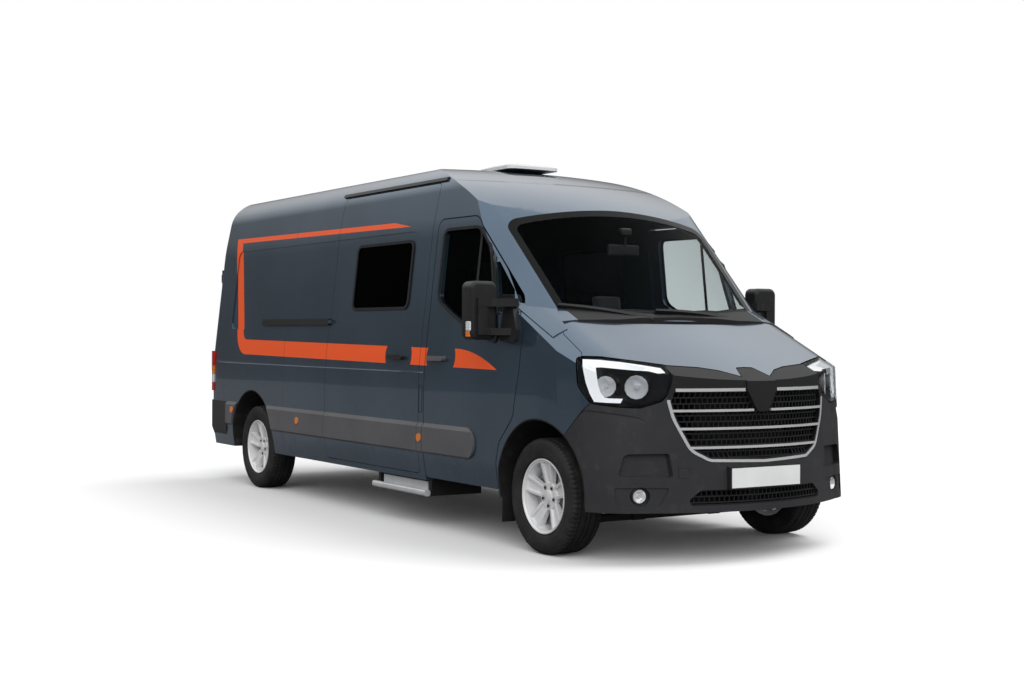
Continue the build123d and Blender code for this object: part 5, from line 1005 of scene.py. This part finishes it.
def webs(skin, start, count, half_at, name):
    shape = bmesh.new()
    for number in range(count):
        low, high = (start + (number + end) * SLAT_PITCH for end in (0, 1))
        shift = WEB_PITCH / 2 if number % 2 else 0
        for step in range(-WEB_COUNT, WEB_COUNT + 1):
            y = step * WEB_PITCH + shift
            if abs(y) > half_at((low + high) / 2):
                continue
            hits = [from_ahead(skin, y, z) for z in (low, high)]
            if None in hits:
                continue
            middle = (hits[0] + hits[1]) / 2 - FORWARD * (WEB_DEEP / 2 + WEB_SINK)
            where = Matrix.LocRotScale(middle, None, (WEB_DEEP, WEB_WIDE, high - low))
            for vert in bmesh.ops.create_cube(shape, size=1, matrix=where)["verts"]:
                vert.co.x += (hits[1].x - hits[0].x) * (0.5 if vert.co.z > middle.z else -0.5)
    piece(name, shape, [grille_black], "body", smooth=False)


def upper_half(z):
    # The grille widens upwards as far as its top bar
    return UPPER_HALVES[0] + (z - UPPER_FOOT) * UPPER_WIDENS if z < UPPER_BAR else UPPER_HALVES[1]


def lower_half(z):
    return LOWER_HALF - (z - LOWER_FOOT) * LOWER_NARROWS


webs(grille_skin, UPPER_START, UPPER_ROWS, upper_half, "grille_webs")
webs(lower_skin, LOWER_START, LOWER_ROWS, lower_half, "lower_grille_webs")

# %% [markdown]
# ## Window seals
# Every side and rear window sits in a black rubber seal. Drawn flat, a seal is the window's outline with its
# corners rounded by a bevel of the corner points, then inset to leave a ring. Rays shot from outside lay the
# ring on the door or wall that carries it, and a Solidify of a few millimetres makes it stand proud.

# %% Window seals
SEAL_WIDE, SEAL_PROUD, SEAL_OUT = 0.020, 0.0030, 0.012
WINDOW_CORNER, CORNER_STEPS = 0.060, 6
LONG_EDGE, LONG_CUTS = 0.08, 7
BEHIND_VAN = -6
CAB_GLASS = [(-1.264, 1.530), (-1.264, 1.995), (-0.800, 1.988), (-0.648, 1.838), (-0.470, 1.246), (-0.700, 1.290),
             (-1.080, 1.442)]
SLIDER_GLASS = [(-2.545, 1.475), (-2.545, 1.945), (-1.695, 1.945), (-1.695, 1.475)]
REAR_SIDE_GLASS = [(-3.950, 1.560), (-3.950, 1.945), (-3.250, 1.945), (-3.250, 1.560)]
TAIL_GLASS = [(0.140, 1.420), (0.140, 2.010), (0.700, 2.010), (0.700, 1.420)]


def cut_long(shape, longest, cuts):
    # Long edges get points in between, so that a flat drawing can bend
    long_ones = [e for e in shape.edges if e.calc_length() > longest]
    bmesh.ops.subdivide_edges(shape, edges=long_ones, cuts=cuts, use_grid_fill=True)


def ring_shape(outline, corner, wide, grow):
    # A flat ring in X and Z round an outline
    shape = bmesh.new()
    face = shape.faces.new([shape.verts.new((x, 0, z)) for x, z in outline])
    bmesh.ops.bevel(shape, geom=face.verts[:], offset=corner, affect="VERTICES", segments=CORNER_STEPS, profile=0.5,
                    material=-1)
    shape.faces.ensure_lookup_table()
    middle = shape.faces[0].calc_center_median()
    for vert in shape.verts:
        vert.co += (vert.co - middle).normalized() * grow
    inner = shape.faces[:]
    bmesh.ops.inset_region(shape, faces=inner, thickness=wide, use_even_offset=True, use_boundary=True)
    bmesh.ops.delete(shape, geom=inner, context="FACES_ONLY")
    cut_long(shape, LONG_EDGE, LONG_CUTS)
    return shape


def lay_on(shape, skin, start, towards, proud):
    # Drop each point of a flat drawing on a skin, then lift it by a little
    for vert in shape.verts:
        origin = vert.co + start
        hit = skin.ray_cast(origin, towards)[0] or skin.find_nearest(origin + towards)[0]
        vert.co = origin + towards * ((hit - origin).dot(towards) - proud)


def seal(name, outline, side, node, body, corner=WINDOW_CORNER, wide=SEAL_WIDE, grow=SEAL_OUT, proud=SEAL_PROUD,
         thick=2 * SEAL_PROUD):
    shape = ring_shape([(AXLE + x, z) for x, z in outline], corner, wide, grow)
    lay_on(shape, skin_of(node), Vector((0, side * FAR_OUT, 0)), Vector((0, -side, 0)), proud)
    thicken(shape, side * thick)
    piece(name, shape, [seal_rubber], body)


for side, hand in HANDS:
    seal("cab_window_seal_" + hand, CAB_GLASS, side, "cab_door_" + hand, "door_" + hand)
seal("slider_window_seal", SLIDER_GLASS, -1, "sliding_door", "body")
seal("lounge_window_seal", SLIDER_GLASS, 1, "body_side_left", "body")
seal("bed_window_seal", REAR_SIDE_GLASS, 1, "body_side_left", "body")
for side, hand in HANDS:
    shape = ring_shape([(side * y, z) for y, z in TAIL_GLASS], WINDOW_CORNER, SEAL_WIDE, SEAL_OUT)
    shape.transform(Matrix.Rotation(pi / 2, 4, "Z"))
    lay_on(shape, skin_of("rear_door_" + hand), FORWARD * BEHIND_VAN, FORWARD, SEAL_PROUD)
    thicken(shape, 2 * SEAL_PROUD)
    piece("tail_window_seal_" + hand, shape, [seal_rubber], "tail_" + hand)

# %% [markdown]
# ## Divider bar and painted shade cover
# The cab door's pane is split by a slim upright bar. Where the real door has glass over the shaded cab, down to the
# small front pane, a gloss black cover is painted shade, so the two read as one dark window; only its gloss
# reflection is rendered. Each is a drawn strip laid on the door in the same way as the seals.

# %% Divider bar and painted shade cover
BESIDE = (-0.045, -0.02, 0.0, 0.02, 0.045)
# Outline of the painted shade cover, where the real door has glass over the shaded cab
SHADED_PANE_COVER = [(-0.662, 1.852), (-0.590, 1.792), (-0.484, 1.424), (-0.545, 1.424)]
DIVIDER = [(-0.815, 1.400), (-0.815, 1.984), (-0.790, 1.984), (-0.790, 1.400)]
BAR_PROUD, BAR_THICK = 0.0025, 0.0040
BAR_LONG_EDGE, BAR_CUTS = 0.12, 10


def door_strip(name, outline, side, skins, body, finish):
    # Drawn flat and laid on whatever stands out furthest close by, so that it clears the door's own edges
    shape = bmesh.new()
    shape.faces.new([shape.verts.new((AXLE + x, 0, z)) for x, z in outline])
    cut_long(shape, BAR_LONG_EDGE, BAR_CUTS)
    for vert in shape.verts:
        origin = vert.co + Vector((0, side * FAR_OUT, 0))
        hits = [skin.ray_cast(origin + FORWARD * aside, Vector((0, -side, 0))) for skin in skins for aside in BESIDE]
        vert.co.y = side * (FAR_OUT - min(hit[3] for hit in hits if hit[0]) + BAR_PROUD)
    thicken(shape, side * BAR_THICK)
    piece(name, shape, [finish], body)


for side, hand in HANDS:
    skins = [skin_of("cab_door_" + hand), skin_of("cab_door_glass_" + hand)]
    # The cover's black is painted shade standing in for glass over the dark cab; its gloss reflection is rendered
    door_strip("painted_shade_cover_" + hand, SHADED_PANE_COVER, side, skins, "door_" + hand, gloss_black)
    door_strip("sash_divider_" + hand, DIVIDER, side, skins, "door_" + hand, trim_black)

# %% [markdown]
# ## Fuel flap
# The flap behind the right cab door shows only as fine dark gaps on the slim pillar between the doors. The
# same ring, drawn thin and laid almost flush, is enough.

# %% Fuel flap
FLAP = [(-1.430, 0.775), (-1.430, 0.958), (-1.384, 0.958), (-1.384, 0.775)]
FLAP_CORNER, FLAP_GAP, FLAP_PROUD, FLAP_THICK = 0.008, 0.0035, 0.0006, 0.001
seal("fuel_flap_gap", FLAP, -1, "body_side_right", "body", FLAP_CORNER, FLAP_GAP, 0.0, FLAP_PROUD, FLAP_THICK)

# %% [markdown]
# ## Cab seats
# Each seat is a padded base, a padded back and a headrest on a hard plinth, in a dark woven cloth. A cushion
# swells against its cover, so each pad starts a little small: a rounded block is remeshed into an even net and
# blown up by Blender's cloth with inner pressure and no gravity, with its movement capped. The sewn channels
# come afterwards, because the remesh would erase them. The second seat repeats the first one's pads.

# %% Cab seats
SEAT_Y = 0.420
PAD_CAP, PAD_PRESSURE, PAD_FRAMES, PAD_VOXEL = 0.024, 4.0, 20, 0.006
PAD_ROUND, PAD_ROUND_STEPS = 0.42, 4
CHANNEL_DEEP, CHANNEL_HALF = 0.007, 0.007
PAD_SOFTENED, PAD_SOFTENINGS = 0.4, 2
THREADS, THREAD_WANDER = 120.0, 0.6
LEAN = radians(-10.7)
SEAT_SHELL = [  # size, place, edge, its steps, finish
    ((0.440, 0.400, 0.300), (-0.960, 0.0, 0.700), 0.030, 3, 1),
    ((0.050, 0.420, 0.560), (-1.235, 0.0, 1.180), 0.020, 3, 1),
    ((0.012, 0.012, 0.160), (-1.262, -0.06, 1.455), 0.003, 2, 1),
    ((0.012, 0.012, 0.160), (-1.262, 0.06, 1.455), 0.003, 2, 1),
]
PADS = {  # size, place of its middle from the axle, lean, channel offsets across
    "base": ((0.470, 0.440, 0.085), (-0.925, 0.0, 0.905), 0.0, (-0.145, 0.145)),
    "back": ((0.070, 0.420, 0.440), (-1.205, 0.0, 1.210), LEAN, (-0.140, 0.140)),
    "headrest": ((0.055, 0.230, 0.120), (-1.268, 0.0, 1.515), LEAN, ()),
}


def woven(name, dark, light):
    # Plain weave: threads over and under, from two crossed waves
    finish = Finish(name)
    weave = finish.place.wave("Y", THREADS, THREAD_WANDER) * finish.place.wave("Z", THREADS, THREAD_WANDER)
    slow = finish.place.noise(7, 4).ramp(0.3, 0.7)
    finish.set(Base_Color=(weave * 0.6 + slow * 0.4).tint(dark, light), Roughness=weave * 0.1 + 0.78,
               Normal=weave.bump(0.35, 0.0008), Sheen_Weight=0.25)
    return finish.material


seat_cloth = woven("seat_cloth", (0.020, 0.021, 0.024), (0.055, 0.057, 0.062))


def evaluated(thing):
    # A new mesh with the modifiers' work in it
    return bpy.data.meshes.new_from_object(thing.evaluated_get(bpy.context.evaluated_depsgraph_get()))


def plumped(size):
    # The mesh of a pad round the origin, blown up
    shape = bmesh.new()
    block(shape, size, (0, 0, 0), min(size) * PAD_ROUND, PAD_ROUND_STEPS)
    pad = placed("pad", as_mesh(shape, "pad"))
    net = pad.modifiers.new("net", "REMESH")
    net.mode, net.voxel_size = "VOXEL", PAD_VOXEL
    bpy.context.view_layer.update()
    even = evaluated(pad)
    pad.modifiers.clear()
    pad.data = even
    before = [v.co.copy() for v in even.vertices]
    cloth = pad.modifiers.new("cloth", "CLOTH")
    cloth.settings.use_pressure = True
    cloth.settings.uniform_pressure_force = PAD_PRESSURE
    cloth.settings.effector_weights.gravity = 0
    for frame_number in range(1, PAD_FRAMES + 1):
        bpy.context.scene.frame_set(frame_number)
    blown = evaluated(pad)
    for vert, old, new in zip(even.vertices, before, blown.vertices):
        move = new.co - old
        vert.co = old + move * min(1.0, PAD_CAP / max(move.length, TOUCHING))
    pad.modifiers.clear()
    bpy.context.scene.frame_set(1)
    bpy.data.meshes.remove(blown)
    bpy.data.objects.remove(pad)
    return even


def channelled(shape, lines):
    # Sewn channels: points near a line sink along their normal
    for vert in shape.verts:
        near = min((abs(vert.co.y - line) for line in lines), default=1.0)
        vert.co -= vert.normal * CHANNEL_DEEP * max(0.0, 1 - near / CHANNEL_HALF / 2)


for kind, (size, middle, lean, lines) in PADS.items():
    net = plumped(size)
    for side, hand in HANDS:
        shape = bmesh.new()
        shape.from_mesh(net)
        shape.normal_update()
        channelled(shape, lines)
        for step in range(PAD_SOFTENINGS):
            bmesh.ops.smooth_vert(shape, verts=shape.verts, factor=PAD_SOFTENED, use_axis_x=True, use_axis_y=True,
                                  use_axis_z=True)
        shape.transform(Matrix.Translation((AXLE + middle[0], side * SEAT_Y, middle[2]))
                        @ Matrix.Rotation(lean, 4, "Y"))
        stands_for = ["cab_seats"] if kind == "base" and side > 0 else []
        piece(f"seat_{kind}_{hand}", shape, [seat_cloth], "body", stands_for)
for side, hand in HANDS:
    shape = bmesh.new()
    stack(shape, SEAT_SHELL, Vector((AXLE, side * SEAT_Y, 0)))
    piece("seat_shell_" + hand, shape, [dash_grey], "body")

# %% [markdown]
# ## Inside mirror
# A driver sees back through a small mirror on a stalk at the head of the screen: a rounded housing, a bright
# face towards the cab and a ball-ended stalk up to a pad on the glass.

# %% Inside mirror
INSIDE_MIRROR = [  # size, place, edge, its steps, finish
    ((0.030, 0.250, 0.072), (0, 0, 0), 0.013, 4, 1),
    ((0.016, 0.016, 0.090), (0.018, 0, 0.065), 0.005, 2, 1),
    ((0.050, 0.085, 0.050), (0.020, 0, 0.118), 0.014, 3, 1),
    ((0.002, 0.226, 0.052), (-0.0155, 0, 0), 0.0008, 1, 2),
]
INSIDE_MIRROR_PLACE = Vector((AXLE - 0.515, 0.0, 1.855))
shape = bmesh.new()
stack(shape, INSIDE_MIRROR, INSIDE_MIRROR_PLACE)
piece("inside_mirror", shape, [trim_black, chrome], "body")

# %% [markdown]
# ## Door mirror faces and their lamps
# The door mirrors are packed with heads and arms. Added here are the bright face that looks back, in a slim
# black frame, and the little repeater lamp at the outer lower corner: clear above, amber below.

# %% Door mirror faces
HEAD_BACK, HEAD_Y, HEAD_Z = -0.500, (1.045, 1.235), (1.266, 1.625)
MIRROR_FACE = [  # size, place, edge, its steps, finish
    ((0.006, 0.168, 0.330), (-0.0015, 0, 0), 0.0025, 2, 1),
    ((0.003, 0.152, 0.215), (-0.0040, 0, 0.045), 0.0012, 2, 2),
    ((0.003, 0.152, 0.085), (-0.0040, 0, -0.112), 0.0012, 2, 2),
]
REPEATER = [
    ((0.052, 0.016, 0.058), (0.006, 0, 0.020), 0.006, 3, 3),
    ((0.046, 0.015, 0.036), (0, 0, -0.028), 0.006, 3, 4),
]
REPEATER_PLACE = (-0.432, 1.231, 1.330)
clear_lens = lens("clear_lens", (0.82, 0.83, 0.84), (0.60, 0.61, 0.62), 22)
for side, hand in HANDS:
    shape = bmesh.new()
    x, y, z = REPEATER_PLACE
    stack(shape, MIRROR_FACE, Vector((AXLE + HEAD_BACK, side * sum(HEAD_Y) / 2, sum(HEAD_Z) / 2)))
    stack(shape, REPEATER, Vector((AXLE + x, side * y, z)))
    piece("mirror_face_" + hand, shape, [trim_black, chrome, clear_lens, amber], "door_" + hand)

# %% [markdown]
# ## Rear lamps and plate holder
# A rear lamp is one moulding in bands: red at the top, amber, clear and red again, with fine ribs inside. The
# bands follow height, so the finish reads it from the part's own coordinates. The blank front plate clips into
# a black holder whose edge shows all round it.

# %% Rear lamps and plate holder
LAMP_BANDS = (0.865, 0.935, 1.010)
rear_lens = Finish("rear_lens")
height_of = rear_lens.place.axes()[2]
ribs = rear_lens.place.wave("Z", 26)
speck = rear_lens.place.noise(70, 2)
tone = ribs * 0.6 + speck * 0.4
red = tone.tint((0.30, 0.006, 0.006), (0.66, 0.020, 0.016))
yellow = tone.tint(AMBER_DEEP, AMBER)
white = tone.tint((0.56, 0.56, 0.57), (0.80, 0.81, 0.82))
banded = (height_of > LAMP_BANDS[2]).tint(yellow, red)
banded = (height_of < LAMP_BANDS[1]).tint(banded, white)
banded = (height_of < LAMP_BANDS[0]).tint(banded, red)
rear_lens.set(Base_Color=banded, Roughness=speck * 0.06 + 0.10, Coat_Weight=1.0, Coat_Roughness=0.03,
              Normal=ribs.bump(0.25, 0.001))
dress("rear_lamps", rear_lens.material)

HOLDER_EDGE, HOLDER_BACK, HOLDER_ROUND = 0.009, 0.004, 0.003
plate_low, plate_high = (Vector(corner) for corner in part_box("front_plate"))
shape = bmesh.new()
size = plate_high - plate_low + Vector((-HOLDER_BACK, 2 * HOLDER_EDGE, 2 * HOLDER_EDGE))
block(shape, size, (plate_low + plate_high) / 2 - Vector((HOLDER_BACK / 2, 0, 0)), HOLDER_ROUND, 2)
piece("plate_holder", shape, [trim_black], "body")
